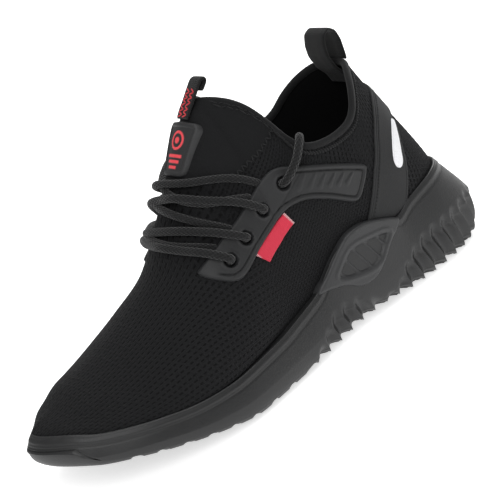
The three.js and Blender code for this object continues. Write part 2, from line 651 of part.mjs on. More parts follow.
function shellBetween(low, high) {
  return upperForm(high).subtract(upperForm(low));
}

function sideSpan(side) {
  return side > 0 ? [ballWidth * 0.12, ballWidth] : [-ballWidth, -ballWidth * 0.12];
}

function makeEyestay(side) {
  const shell = shellBetween(clearance, clearance + eyestayThickness);
  let guard = sidePrism(sideOutline(eyestayRows, tongueHeight), ...sideSpan(side)).intersect(shell);
  eyeletRows.forEach((place) => {
    const { at, up } = findOnUpper(side, place);
    const centre = upperPoint(side, at, up, 0);
    const pin = new THREE.CylinderGeometry(eyeletDiameter / 2, eyeletDiameter / 2, 16, 10);
    pin.applyQuaternion(new THREE.Quaternion().setFromUnitVectors(new THREE.Vector3(0, 1, 0),
      upperNormal(side, at, up)));
    pin.translate(centre.x, centre.y, centre.z);
    guard = guard.subtract(toSolid(pin));
  });
  return largestBody(guard);
}

// The band follows the upper round the heel and stops just above the sole's lip
function makeHeelBand(soleOutside) {
  const shell = shellBetween(clearance, clearance + heelBandThickness);
  const outline = sidePrism(sideOutline(heelBandRows, tongueHeight), -ballWidth, ballWidth);
  return largestBody(outline.intersect(shell).subtract(soleOutside.translate([0, 0, clearance])));
}

function makeReflector(side) {
  const low = clearance + heelBandThickness + clearance;
  const shell = shellBetween(low, low + reflectorThickness);
  return sidePrism(sideOutline(reflectorRows, tongueHeight), ...sideSpan(side)).intersect(shell);
}

function makeSideTag() {
  const shell = shellBetween(clearance, clearance + tagThickness);
  const guard = sidePrism(grown(sideOutline(eyestayRows, tongueHeight), clearance), ...sideSpan(1));
  const tag = sidePrism(sideOutline(tagRows, tongueHeight), ...sideSpan(1));
  return largestBody(tag.intersect(shell).subtract(guard));
}

// Badge on the tongue: a rounded shield laid against the upper's face, seen along its normal
function makePatch() {
  const shape = new THREE.Shape();
  const [wide, narrow, tall, corner] = [patchWidth / 2, patchFootWidth / 2, patchHeight / 2, patchHeight / 6];
  shape.moveTo(-narrow + corner, -tall);
  shape.lineTo(narrow - corner, -tall);
  shape.quadraticCurveTo(narrow, -tall, narrow + (wide - narrow) / 4, -tall + corner);
  shape.lineTo(wide, tall - corner);
  shape.quadraticCurveTo(wide, tall, wide - corner, tall);
  shape.lineTo(-wide + corner, tall);
  shape.quadraticCurveTo(-wide, tall, -wide, tall - corner);
  shape.lineTo(-narrow - (wide - narrow) / 4, -tall + corner);
  shape.quadraticCurveTo(-narrow, -tall, -narrow + corner, -tall);
  const block = new THREE.ExtrudeGeometry(shape, { depth: 24, bevelEnabled: false, curveSegments: 3 });
  const out = upperNormal(1, patchAt, 1);
  const across = new THREE.Vector3(0, 1, 0);
  const centre = upperPoint(1, patchAt, 1, -12);
  block.applyMatrix4(new THREE.Matrix4().makeBasis(across, out.clone().cross(across), out));
  block.translate(centre.x, centre.y, centre.z);
  return toSolid(block).intersect(shellBetween(clearance, clearance + patchThickness));
}

// Flat webbing along a path in the plane y = middle, its width across the shoe
function webbing(path, middle, width, thickness) {
  const curve = new THREE.CatmullRomCurve3(path);
  const steps = path.length * 2;
  const half = thickness / 2;
  const positions = [];
  const faces = [];
  for (let i = 0; i <= steps; i += 1) {
    const point = curve.getPointAt(i / steps);
    const along = curve.getTangentAt(i / steps);
    const [nx, nz] = [-along.z * half, along.x * half];
    for (const [turn, y] of [[1, -1], [1, 1], [-1, 1], [-1, -1]]) {
      positions.push(point.x + turn * nx, middle + (y * width) / 2, point.z + turn * nz);
    }
  }
  for (let i = 0; i < steps; i += 1) {
    for (let k = 0; k < 4; k += 1) {
      const [a, b] = [i * 4 + k, i * 4 + ((k + 1) % 4)];
      faces.push(a, b + 4, b, a, a + 4, b + 4);
    }
  }
  const end = steps * 4;
  faces.push(0, 1, 2, 0, 2, 3, end, end + 2, end + 1, end, end + 3, end + 2);
  return geometryFrom(positions, faces);
}

// Pull loop: from the collar's edge at the heel, over in a bow and down inside the collar
function makeHeelLoop() {
  const inside = -(knitWall + heelLoopInset + webbingThickness / 2);
  const top = upperPoint(1, 0, 1, 0);
  const bow = [[1, 1.3], [1, 7], [1.2, 13], [2.8, 18.4], [6.6, 21.2], [10.6, 19.2], [12.3, 13.5], [12.2, 7.5], [9.2, 0]];
  const path = [
    ...bow.map(([x, z]) => new THREE.Vector3(top.x + x, 0, top.z + (z * heelLoopReach) / 22)),
    upperPoint(1, 0, 0.95, inside),
    upperPoint(1, 0, 0.88, inside),
  ];
  return webbing(path, 0, heelLoopWidth, webbingThickness);
}

// Tab on the tongue: webbing along the ridge from above the badge, folded back on itself above the edge
function makeTongueTab() {
  const outside = clearance + webbingThickness / 2;
  const top = upperPoint(1, tongueTopAt, 1, 0);
  const [edge, below] = [collarColumns, collarColumns + 1].map((i) => upperPoint(1, upperColumns[i], 1, outside));
  const fold = [[-3.5, 6.1], [-6.6, 9.1], [-8.6, 9.7], [-9.2, 8.2], [-7.2, 6.2], [-5, 4.2]];
  const path = [
    edge.clone().lerp(below, 0.42),
    edge.clone().lerp(below, 0.16),
    edge,
    ...fold.map(([x, z]) => new THREE.Vector3(top.x + x, 0, top.z + (z * tongueTabReach) / 10)),
  ];
  return webbing(path, top.y, tongueTabWidth, webbingThickness);
}

// Laces. A run starts at a place on one side, crosses the ridge at its share and ends at a place on the
// other side. A place is an eyelet, where the cord lies over the eyestay, or a gap between two eyelets.
function laceRun(start, ridge, end) {
  const [from, to] = [findOnUpper(1, start), findOnUpper(-1, end)];
  const middle = 2 * ridge - (from.at + to.at) / 2;
  const points = Array.from({ length: laceSteps + 1 }, (_, i) => {
    const t = i / laceSteps;
    const at = from.at * (1 - t) ** 2 + 2 * middle * t * (1 - t) + to.at * t * t;
    const across = THREE.MathUtils.lerp(1 - from.up, to.up - 1, t);
    const place = t < 0.5 ? start : end;
    const nearEnd = 1 - THREE.MathUtils.smoothstep(Math.min(t, 1 - t), overShare, 2 * overShare);
    const height = THREE.MathUtils.lerp(underHeight, place.over ? overHeight : underHeight, nearEnd);
    return upperPoint(across >= 0 ? 1 : -1, at, 1 - Math.abs(across), height);
  });
  return cordGeometry(points, laceSteps);
}

function cordGeometry(points, steps) {
  const section = new THREE.Shape();
  for (let i = 0; i < laceSides; i += 1) {
    const turn = (2 * Math.PI * i) / laceSides;
    const [x, y] = [Math.cos(turn) * (laceDiameter / 2), Math.sin(turn) * (laceDiameter / 2)];
    if (i === 0) section.moveTo(x, y);
    else section.lineTo(x, y);
  }
  return new THREE.ExtrudeGeometry(section, {
    steps, bevelEnabled: false, extrudePath: new THREE.CatmullRomCurve3(points),
  });
}

const underHeight = 3.6 * clearance + laceDiameter / 2;
const overHeight = clearance + eyestayThickness + 2 * clearance + laceDiameter / 2;
const overShare = 0.16;

// The runs of one half of the lacing, joined where they cross
function makeLaces(runs) {
  return toGeometry(runs.map((run) => toSolid(laceRun(...run))).reduce((all, run) => all.add(run)));
}

// The free end: from the top eyelet up over the collar and down inside; points chosen by hand
function makeLaceEnd() {
  const start = findOnUpper(1, eyeletRows[3]);
  const path = [
    upperPoint(1, start.at, start.up, overHeight),
    upperPoint(1, start.at - 0.012, start.up + 0.05, overHeight + 1.2),
    new THREE.Vector3(-25.5, 38.6, 102.5),
    new THREE.Vector3(-29.5, 38.4, 107.5),
    new THREE.Vector3(-33.2, 36.4, 110.6),
    new THREE.Vector3(-36.6, 31.8, 109.6),
    new THREE.Vector3(-38.6, 28.2, 104.5),
    new THREE.Vector3(-40.2, 26.8, 97.5),
    new THREE.Vector3(-41.6, 26.4, 90.0),
    new THREE.Vector3(-43.2, 26.6, 82.5),
  ];
  return cordGeometry(path, 13);
}

// Materials
function finish(color, roughness, metalness = 0) {
  return new THREE.MeshStandardMaterial({ color, roughness, metalness });
}
const knit = finish(0x17181a, 0.9);
const rubber = finish(0x303133, 0.6);
const foam = finish(0x2b2c2e, 0.65);
const plate = finish(0x363739, 0.45);
const liner = finish(0x111214, 0.95);
const webbingCloth = finish(0x1d1e20, 0.85);
const reflective = finish(0xdcdde0, 0.35, 0.1);
const redWeave = finish(0xc8283c, 0.7);
const laceBraid = finish(0x151618, 0.85);

// The forefoot's last: from the ball on, the lip and the upper sit lower than their tables, the vamp's
// crown a little more and the tread a little less
function dropAt(x, z) {
  const { smoothstep, clamp, lerp } = THREE.MathUtils;
  const [bottom, lip] = [soleHeight('bottom', x), soleHeight('lip', x)];
  const tread = toeTreadDrop * smoothstep(x, 0.21 * soleLength, 0.42 * soleLength);
  const top = toeDrop * smoothstep(x, 0.05 * soleLength, 0.35 * soleLength);
  const crown = crownDrop * smoothstep(x, 0.17 * soleLength, 0.37 * soleLength) * smoothstep(z, lip, 1.35 * lip);
  return lerp(tread, top, clamp((z - bottom) / (lip - bottom), 0, 1)) + crown;
}

const shoe = new THREE.Group();
function add(name, geometry, material) {
  const spots = geometry.attributes.position;
  for (let i = 0; i < spots.count; i += 1) {
    const [x, z] = [spots.getX(i), spots.getZ(i)];
    spots.setZ(i, z - dropAt(x, z));
  }
  const mesh = new THREE.Mesh(geometry, material);
  mesh.name = name;
  shoe.add(mesh);
}

const footRoom = upperForm(clearance, clearance);
const raisedSole = soleForm(stabilizerRaise, smoothLevels, false);
add('outsole', makeOutsole(footRoom), rubber);
add('midsole', toGeometry(makeMidsole(footRoom)), foam);
add('stabilizer_lateral', toGeometry(makeStabilizer(1, footRoom, raisedSole)), plate);
add('stabilizer_medial', toGeometry(makeStabilizer(-1, footRoom, raisedSole)), plate);
add('upper', makeUpper(), knit);
add('insole', makeInsole(), liner);
add('eyestay_lateral', toGeometry(makeEyestay(1)), plate);
add('eyestay_medial', toGeometry(makeEyestay(-1)), plate);
add('heel_band', toGeometry(makeHeelBand(soleForm(stabilizerRaise + clearance, smoothLevels, false))), plate);
add('heel_reflector_lateral', toGeometry(makeReflector(1)), reflective);
add('heel_reflector_medial', toGeometry(makeReflector(-1)), reflective);
add('side_tag', toGeometry(makeSideTag()), redWeave);
add('tongue_patch', toGeometry(makePatch()), plate);
add('tongue_pull_tab', makeTongueTab(), webbingCloth);
add('heel_pull_loop', makeHeelLoop(), webbingCloth);
add('laces_lower', makeLaces(lowerRuns), laceBraid);
add('laces_upper', makeLaces(upperRuns), laceBraid);
add('lace_end_lateral', makeLaceEnd(), laceBraid);

// The origin is the middle of the shoe's box at the floor; the free lace isn't counted
const box = new THREE.Box3();
shoe.children.forEach((mesh) => {
  if (mesh.name !== 'lace_end_lateral') box.expandByObject(mesh);
});
const middle = box.getCenter(new THREE.Vector3());
shoe.position.set(-middle.x, -middle.y, -box.min.z);

export default shoe;
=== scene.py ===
"""Work shoe: a knitted safety trainer for the left foot, dressed round its packed solids.

Shapes are worked out in millimetres in the part's own frame: +X to the toe, +Y to the wearer's left,
+Z up, the floor at z = 0. make_mesh turns them into metres in the row frame.
"""
import math

import bmesh
import bpy
import numpy as np
from bpy.props import FloatProperty, FloatVectorProperty, PointerProperty
from mathutils import Matrix, Vector


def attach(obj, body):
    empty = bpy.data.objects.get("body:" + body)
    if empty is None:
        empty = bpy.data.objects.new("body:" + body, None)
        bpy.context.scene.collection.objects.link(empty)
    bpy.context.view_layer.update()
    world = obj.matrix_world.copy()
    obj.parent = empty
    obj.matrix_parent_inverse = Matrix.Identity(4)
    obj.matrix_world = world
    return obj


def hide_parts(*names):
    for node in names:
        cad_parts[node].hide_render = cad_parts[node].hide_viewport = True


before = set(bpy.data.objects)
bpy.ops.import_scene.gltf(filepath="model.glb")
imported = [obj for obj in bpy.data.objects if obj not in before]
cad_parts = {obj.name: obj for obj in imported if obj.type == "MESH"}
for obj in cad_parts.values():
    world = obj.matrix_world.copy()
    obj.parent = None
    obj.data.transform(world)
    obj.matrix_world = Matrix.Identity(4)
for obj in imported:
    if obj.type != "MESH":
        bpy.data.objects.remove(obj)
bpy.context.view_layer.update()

bl_info = {
    "name": "Work shoe",
    "version": (1, 0, 0),
    "blender": (4, 5, 0),
    "location": "3D View > Sidebar > Work shoe",
    "description": "Knitted safety trainer on a ribbed cup sole, with laces, supports and webbing",
    "category": "Object",
}

METRES = 0.001
FRAME_SHIFT = np.array([0.0, -0.299, 0.0])

# Driving sizes of the solids, in millimetres
SOLE_LENGTH = 298.0
BALL_WIDTH = 107.0
LIP_HEIGHT = 51.0
TONGUE_HEIGHT = 143.0
CLEARANCE = 0.3
TOE_DROP = 4.2
CROWN_DROP = 3.2
TOE_TREAD_DROP = 2.6
FOOT_SWELL = 2.2
TOE_SWELL = 1.6
KNIT_WALL = 2.0
RIB_PITCH = 9.5
RIB_DEPTH = 3.6
RIB_LEAN = 0.45
RIB_FADE = 6.0
TOOTH_RISE = 3.0
EDGE_LIFT = 1.6
LUG_PITCH = 13.0
GROOVE_DEPTH = 2.6
GUARD_THICKNESS = 1.8
EYELET_RADIUS = 3.1
STABILIZER_RAISE = 1.2
LACE_DIAMETER = 4.4

# Shares of the way from heel to toe where the upper's sections change their duty
TONGUE_TOP = 0.476
TOE_POLE = 0.831
PATCH_AT = 0.522
RIB_END = 0.555
LUG_END = 0.86
LEAN_START = 0.09

# Plan outline of the sole: share of the length, outer and inner distance as shares of the ball width
OUTLINE = np.array([
    (0, 0, 0), (0.02, 0.21, 0.2), (0.06, 0.308, 0.3), (0.12, 0.362, 0.348), (0.2, 0.382, 0.357),
    (0.3, 0.387, 0.334), (0.4, 0.396, 0.314), (0.5, 0.427, 0.337), (0.6, 0.474, 0.402),
    (0.68, 0.5, 0.467), (0.75, 0.49, 0.495), (0.82, 0.45, 0.47), (0.88, 0.39, 0.372),
    (0.94, 0.286, 0.238), (0.98, 0.152, 0.092), (1, -0.01, 0.01),
])
# Side of the sole: share of the length, then bottom, belly, lip, split and rib top as shares of the
# heel lip's height, lip inset and bottom inset as shares of the ball width
SOLE = np.array([
    (0, 0.078, 0.49, 1, 0.186, 0.63, 0.173, 0.045), (0.02, 0.04, 0.49, 1, 0.147, 0.62, 0.152, 0.035),
    (0.06, 0.01, 0.49, 0.992, 0.118, 0.61, 0.117, 0.042),
    (0.12, 0, 0.47, 0.975, 0.11, 0.59, 0.08, 0.042), (0.2, 0, 0.43, 0.905, 0.11, 0.57, 0.058, 0.042),
    (0.24, 0, 0.39, 0.83, 0.11, 0.49, 0.04, 0.042),
    (0.265, 0.01, 0.37, 0.885, 0.12, 0.41, 0.032, 0.042),
    (0.3, 0.04, 0.36, 0.965, 0.147, 0.235, 0.029, 0.042),
    (0.332, 0.05, 0.35, 1, 0.157, 0.235, 0.028, 0.042),
    (0.366, 0.05, 0.35, 0.98, 0.157, 0.333, 0.029, 0.042),
    (0.4, 0.04, 0.333, 0.902, 0.147, 0.431, 0.032, 0.042),
    (0.433, 0.02, 0.314, 0.765, 0.127, 0.451, 0.037, 0.042),
    (0.463, 0.01, 0.294, 0.647, 0.118, 0.412, 0.04, 0.042),
    (0.5, 0, 0.275, 0.588, 0.11, 0.255, 0.04, 0.042),
    (0.533, 0, 0.265, 0.549, 0.11, 0.118, 0.04, 0.042), (0.567, 0, 0.255, 0.52, 0.11, 0, 0.038, 0.042),
    (0.66, 0, 0.255, 0.508, 0.11, 0, 0.036, 0.042), (0.7, 0.03, 0.27, 0.512, 0.137, 0, 0.036, 0.042),
    (0.768, 0.118, 0.33, 0.552, 0.225, 0, 0.036, 0.044),
    (0.835, 0.225, 0.42, 0.622, 0.333, 0, 0.036, 0.04),
    (0.886, 0.3, 0.48, 0.672, 0.412, 0, 0.036, 0.045), (0.93, 0.343, 0.52, 0.72, 0.475, 0, 0.036, 0.05),
    (0.96, 0.362, 0.54, 0.77, 0.59, 0, 0.036, 0.056),
    (0.985, 0.378, 0.57, 0.788, 0.64, 0, 0.036, 0.062), (1, 0.385, 0.58, 0.788, 0.648, 0, 0.036, 0.07),
])
# Sections of the upper from heel to toe: at, inset, floor, top x, swing, top y, top z, rise, flare,
# drop, spread, turn (degrees)
UPPER = np.array([
    (0, 0.15, 0.686, 0.166, 0, 0, 0.86, 0.154, -0.034, 0.175, 0.09, -90),
    (0.046, 0.142, 0.686, 0.173, 0, 0.065, 0.86, 0.16, -0.026, 0.175, 0.086, -74),
    (0.097, 0.124, 0.682, 0.19, 0, 0.131, 0.857, 0.17, -0.008, 0.175, 0.074, -52),
    (0.149, 0.106, 0.674, 0.216, 0, 0.22, 0.82, 0.18, 0.008, 0.178, 0.056, -30),
    (0.195, 0.094, 0.664, 0.242, 0, 0.286, 0.768, 0.186, 0.022, 0.175, 0.04, -14),
    (0.229, 0.088, 0.654, 0.262, 0, 0.31, 0.728, 0.19, 0.032, 0.17, 0.032, -6),
    (0.258, 0.086, 0.642, 0.287, 0, 0.321, 0.71, 0.193, 0.04, 0.166, 0.028, 0),
    (0.298, 0.084, 0.63, 0.319, 0, 0.325, 0.704, 0.196, 0.046, 0.164, 0.027, 0),
    (0.332, 0.084, 0.616, 0.352, 0, 0.323, 0.71, 0.203, 0.05, 0.16, 0.03, 0),
    (0.361, 0.084, 0.604, 0.379, 0, 0.312, 0.73, 0.217, 0.052, 0.156, 0.042, 0),
    (0.384, 0.084, 0.594, 0.398, 0, 0.28, 0.772, 0.236, 0.054, 0.15, 0.072, 0),
    (0.407, 0.084, 0.584, 0.411, -0.004, 0.232, 0.845, 0.252, 0.055, 0.142, 0.11, 0),
    (0.43, 0.084, 0.573, 0.427, -0.012, 0.17, 0.92, 0.26, 0.056, 0.13, 0.145, 0),
    (0.453, 0.084, 0.562, 0.45, -0.024, 0.095, 0.972, 0.256, 0.056, 0.11, 0.19, 0),
    (0.476, 0.084, 0.55, 0.48, -0.034, 0, 1, 0.246, 0.056, 0.08, 0.228, 0),
    (0.504, 0.084, 0.532, 0.514, -0.037, 0, 0.932, 0.222, 0.056, 0.055, 0.224, 0),
    (0.544, 0.083, 0.508, 0.565, -0.037, 0, 0.792, 0.188, 0.056, 0.036, 0.226, 0),
    (0.585, 0.081, 0.486, 0.614, -0.037, 0, 0.668, 0.166, 0.058, 0.022, 0.232, 0),
    (0.63, 0.079, 0.47, 0.668, -0.037, 0, 0.527, 0.15, 0.06, 0.012, 0.243, 0),
    (0.682, 0.079, 0.466, 0.735, -0.039, 0, 0.463, 0.132, 0.06, 0.008, 0.24, 0),
    (0.734, 0.079, 0.482, 0.802, -0.041, 0, 0.422, 0.115, 0.062, 0.007, 0.225, 0),
    (0.785, 0.08, 0.512, 0.859, -0.04, 0, 0.392, 0.106, 0.062, 0.007, 0.2, 0),
    (0.831, 0.081, 0.54, 0.896, -0.04, 0, 0.376, 0.104, 0.06, 0.006, 0.18, 0),
    (0.877, 0.083, 0.556, 0.896, -0.04, 0, 0.376, 0.11, 0.064, 0.03, 0.16, 30),
    (0.923, 0.084, 0.566, 0.896, -0.04, 0, 0.376, 0.12, 0.068, 0.05, 0.142, 57),
    (0.963, 0.084, 0.57, 0.896, -0.04, 0, 0.376, 0.128, 0.072, 0.06, 0.134, 76),
    (1, 0.084, 0.57, 0.896, -0.04, 0, 0.376, 0.132, 0.074, 0.062, 0.131, 90),
])
# Outlines in the side view: share of the length, share of the heel lip's height
STABILIZER = np.array([
    (0.463, 0.653), (0.433, 0.775), (0.4, 0.914), (0.366, 1.018), (0.332, 1.036), (0.299, 0.986),
    (0.262, 0.896), (0.242, 0.82), (0.282, 0.675), (0.309, 0.549), (0.332, 0.468), (0.356, 0.445),
    (0.379, 0.472), (0.406, 0.567), (0.436, 0.621),
])
# Window of the stabilizer, the same shares
WINDOW = np.array([
    (0.413, 0.675), (0.395, 0.784), (0.37, 0.865), (0.33, 0.856), (0.28, 0.784), (0.3, 0.675),
    (0.318, 0.59), (0.35, 0.567),
])
# Outlines in the side view: share of the length, share of the tongue's height
EYESTAY = np.array([
    (0.636, 0.506), (0.628, 0.52), (0.582, 0.568), (0.543, 0.606), (0.498, 0.657), (0.458, 0.702),
    (0.438, 0.706), (0.413, 0.688), (0.35, 0.634), (0.284, 0.566), (0.276, 0.545), (0.303, 0.468),
    (0.318, 0.452), (0.332, 0.462), (0.375, 0.519), (0.415, 0.558), (0.45, 0.563), (0.479, 0.54),
    (0.527, 0.493), (0.574, 0.443), (0.598, 0.441), (0.63, 0.484),
])
# Eyelets from the front one up
EYELETS = np.array([
    (0.585, 0.503), (0.543, 0.543), (0.493, 0.598), (0.441, 0.65),
])
# Places where the lace goes under the throat's edge
THROATS = np.array([
    (0.607, 0.572), (0.569, 0.612), (0.52, 0.668), (0.486, 0.702),
])
# Heel band, anticlockwise from its front foot
HEEL_BAND = np.array([
    (0.316, 0.29), (0.305, 0.349), (0.275, 0.453), (0.255, 0.527), (0.233, 0.609), (0.209, 0.665),
    (0.187, 0.702), (0.16, 0.728), (0.12, 0.742), (0.02, 0.75), (0.02, 0.64), (0.125, 0.634),
    (0.144, 0.612), (0.152, 0.574), (0.166, 0.519), (0.174, 0.464), (0.185, 0.399), (0.201, 0.33),
    (0.204, 0.28),
])
# Reflector on the heel band
REFLECTOR = np.array([
    (0.159, 0.612), (0.17, 0.602), (0.186, 0.577), (0.203, 0.535), (0.21, 0.497), (0.207, 0.47),
    (0.198, 0.459), (0.189, 0.471), (0.18, 0.513), (0.166, 0.566), (0.156, 0.6),
])
# Woven tag under the wing
TAG = np.array([
    (0.545, 0.482), (0.461, 0.556), (0.452, 0.508), (0.526, 0.434),
])


def follow(keys, values, at):
    """Smooth curve through pairs of key and value: cubic pieces, the slope at each pair being that of
    the line between its two neighbours."""
    at = np.asarray(at, float)
    slope = np.empty(len(keys))
    slope[1:-1] = (values[2:] - values[:-2]) / (keys[2:] - keys[:-2])
    slope[0] = (values[1] - values[0]) / (keys[1] - keys[0])
    slope[-1] = (values[-1] - values[-2]) / (keys[-1] - keys[-2])
    low = np.clip(np.searchsorted(keys, at) - 1, 0, len(keys) - 2)
    width = keys[low + 1] - keys[low]
    t = np.clip((at - keys[low]) / width, 0, 1)
    rest = 1 - t
    rising = values[low] * (1 + 2 * t) * rest**2 + slope[low] * width * t * rest**2
    return rising + values[low + 1] * (3 - 2 * t) * t**2 - slope[low + 1] * width * rest * t**2


def smoothstep(value, low, high):
    """0 below low, 1 above high, and 3 t^2 - 2 t^3 between them."""
    t = np.clip((np.asarray(value, float) - low) / (high - low), 0, 1)
    return t * t * (3 - 2 * t)


def bump(value, centre, width):
    """Round hump: 1 at the centre, falling as a cosine to 0 at half the width on either side."""
    t = np.clip(np.abs(value - centre) / (width / 2), 0, 1)
    return 0.5 + 0.5 * np.cos(np.pi * t)


def unit(vectors):
    """Vectors at length 1."""
    return vectors / np.maximum(np.linalg.norm(vectors, axis=-1, keepdims=True), 1e-9)


def make_outline(side):
    """Outline of one side from heel to toe: x goes by the cosine of an even angle, so that the ends are
    round, and y follows the table. Gives the points, their outward directions and the way to each."""
    turn = np.linspace(0, 1, 1601)
    keys = np.arccos(1 - 2 * OUTLINE[:, 0]) / np.pi
    x = -SOLE_LENGTH / 2 * np.cos(np.pi * turn)
    y = side * BALL_WIDTH * follow(keys, OUTLINE[:, 1 if side > 0 else 2], turn)
    points = np.stack([x, y], 1)
    reach = np.concatenate([[0], np.cumsum(np.linalg.norm(np.diff(points, axis=0), axis=1))])
    along = unit(np.gradient(points, reach, axis=0))
    outward = np.stack([-along[:, 1] * side, along[:, 0] * side], 1)
    outward[0] = (-1, 0)
    outward[-1] = (1, 0)
    return points, outward, reach


OUTLINES = {1: make_outline(1), -1: make_outline(-1)}
LATERAL_WAY = OUTLINES[1][2][-1]


def outline_at(side, at):
    """Point and outward direction at a share of the way along the outline of either side."""
    at = np.clip(np.asarray(at, float), 0, 1)
    found = []
    for sign in (1, -1):
        points, outward, reach = OUTLINES[sign]
        way = at * reach[-1]
        columns = (points[:, 0], points[:, 1], outward[:, 0], outward[:, 1])
        found.append(np.stack([np.interp(way, reach, column) for column in columns], -1))
    both = np.where(np.asarray(side)[..., None] > 0, found[0], found[1])
    return both[..., :2], both[..., 2:]


def upper_curve(side, at, up):
    """Bare outer face of the upper: a cubic Bezier curve from the feather line (up = 0) to the collar or
    the ridge (up = 1), with its ends and handles from the table. The ridge is rounded by lowering it
    by an exponential of the distance from it, which cancels the crease's slope. From the instep on, the
    knit swells outwards over the sole's lip."""
    side, at, up = np.asarray(side, float), np.asarray(at, float), np.asarray(up, float)

    def value(column, where=at):
        return follow(UPPER[:, 0], UPPER[:, column], where)

    spot, outward = outline_at(side, at)
    inset = BALL_WIDTH * value(1)[..., None]
    foot = np.concatenate([spot - outward * inset, LIP_HEIGHT * value(2)[..., None]], -1)
    top_at = np.minimum(at, TOE_POLE)
    gap = np.where(at < TONGUE_TOP, np.maximum(BALL_WIDTH * value(5), 0), 0)
    gap = np.sqrt(gap**2 + 4 * gap * np.exp(-gap / 12))
    top = np.stack([
        (value(3, top_at) - 0.5) * SOLE_LENGTH,
        BALL_WIDTH * value(4, top_at) + side * gap,
        TONGUE_HEIGHT * value(6, top_at)], -1)
    flare, spread = BALL_WIDTH * value(8), BALL_WIDTH * value(10)
    turn = np.radians(value(11))
    low = foot + np.concatenate([outward * flare[..., None], (TONGUE_HEIGHT * value(7))[..., None]], -1)
    high = top + np.stack([
        np.sin(turn) * spread, side * np.cos(turn) * spread, -TONGUE_HEIGHT * value(9)], -1)
    t = up[..., None]
    rest = 1 - t
    point = foot * rest**3 + 3 * low * rest**2 * t + 3 * high * rest * t**2 + top * t**3
    ease_width = 0.06
    easing = smoothstep(at, TONGUE_TOP - 0.03, TONGUE_TOP + 0.02)
    ease = 3 * TONGUE_HEIGHT * value(9, top_at) * ease_width * easing
    point[..., 2] -= ease * np.exp(-(1 - up) / ease_width)
    swell = FOOT_SWELL * smoothstep(at, 0.5, 0.6) + TOE_SWELL * smoothstep(at, 0.8, 0.97)
    swell = swell * smoothstep(up, 0, 0.07) * (1 - smoothstep(up, 0.1, 0.5))
    point[..., :2] += outward * swell[..., None]
    return point


def upper_normal(side, at, up):
    """Outward direction of the upper's face: the cross product of short steps along it and up it. On the
    ridge it comes from the ridge line alone, so that both sides share it."""
    step = 0.004
    side, at, up = np.asarray(side, float), np.asarray(at, float), np.asarray(up, float)
    a = np.clip(at, step, 1 - step)
    v = np.clip(up, step, 1 - step)
    along = upper_curve(side, a + step, v) - upper_curve(side, a - step, v)
    upward = upper_curve(side, a, v + step) - upper_curve(side, a, v - step)
    normal = np.cross(along, upward) * -side[..., None]
    ends = np.broadcast_to((at <= 0) | (at >= 1), normal.shape[:-1])
    normal[..., 1] = np.where(ends, 0, normal[..., 1])
    a = np.clip(at, TONGUE_TOP + step, TOE_POLE - step)
    ridge = upper_curve(1.0, a + step, 1.0) - upper_curve(1.0, a - step, 1.0)
    ridge_normal = np.stack([-ridge[..., 2], np.zeros(ridge.shape[:-1]), ridge[..., 0]], -1)
    on_ridge = np.broadcast_to((up > 1 - 1e-6) & (at >= TONGUE_TOP), normal.shape[:-1])
    return unit(np.where(on_ridge[..., None], ridge_normal, unit(normal)))


def upper_point(side, at, up, offset=0.0):
    """Point at a height over the upper's face. Its foot keeps to the feather line's height."""
    point = upper_curve(side, at, up)
    floor = point[..., 2].copy()
    point = point + upper_normal(side, at, up) * np.asarray(offset)[..., None]
    point[..., 2] = np.where(np.broadcast_to(np.asarray(up) <= 0, floor.shape), floor, point[..., 2])
    return point


def locate(side, x, z):
    """Shares at and up where the upper's face shows at a place of the side view: the nearest point of a
    coarse grid, then Newton's steps towards it."""
    grid = np.meshgrid(np.linspace(0.04, 0.84, 90), np.linspace(0.02, 0.99, 60))
    at_grid, up_grid = [values.ravel() for values in grid]
    spots = upper_curve(float(side), at_grid, up_grid)
    at, up = np.empty(len(x)), np.empty(len(x))
    for part in np.array_split(np.arange(len(x)), len(x) // 1500 + 1):
        miss = (spots[:, 0] - x[part][:, None]) ** 2 + (spots[:, 2] - z[part][:, None]) ** 2
        best = miss.argmin(1)
        at[part], up[part] = at_grid[best], up_grid[best]
    step = 1e-3
    for _ in range(7):
        up = np.clip(up, step, 0.997)
        here = upper_curve(float(side), at, up)
        fore, aft = upper_curve(float(side), at + step, up), upper_curve(float(side), at - step, up)
        over, under = upper_curve(float(side), at, up + step), upper_curve(float(side), at, up - step)
        by_at = (fore - aft) / (2 * step)
        by_up = (over - under) / (2 * step)
        det = by_at[:, 0] * by_up[:, 2] - by_at[:, 2] * by_up[:, 0]
        det = np.where(np.abs(det) < 500, np.sign(det) * 500, det)
        dx, dz = x - here[:, 0], z - here[:, 2]
        at = at + np.clip((dx * by_up[:, 2] - dz * by_up[:, 0]) / det, -0.02, 0.02)
        up = up + np.clip((by_at[:, 0] * dz - by_at[:, 2] * dx) / det, -0.03, 0.03)
    return at, np.clip(up, 0.001, 0.999)


def rounded(rows, across, up, spacing=0.25):
    """Closed smooth curve through hand-chosen corners: cubic pieces by the way along, in even steps."""
    corners = np.asarray(rows, float) * (across, up)
    ring = np.concatenate([corners[-3:], corners, corners[:3]])
    way = np.concatenate([[0], np.cumsum(np.linalg.norm(np.diff(ring, axis=0), axis=1))])
    start, end = way[3], way[3 + len(corners)]
    places = np.linspace(start, end, int((end - start) / spacing), endpoint=False)
    return np.stack([follow(way, ring[:, 0], places), follow(way, ring[:, 1], places)], 1)


def side_ring(rows, height):
    """Smooth outline in the side view in millimetres, from shares of the length and of a height."""
    return rounded(rows - (0.5, 0), SOLE_LENGTH, height)


def inside(ring, x, y):
    """Whether places lie inside a closed outline, by the even and odd count of its edges to their left."""
    found = np.zeros(x.shape, bool)
    for (x0, y0), (x1, y1) in zip(ring, np.roll(ring, -1, axis=0)):
        if y0 != y1:
            found ^= ((y0 > y) != (y1 > y)) & (x < (x1 - x0) * (y - y0) / (y1 - y0) + x0)
    return found


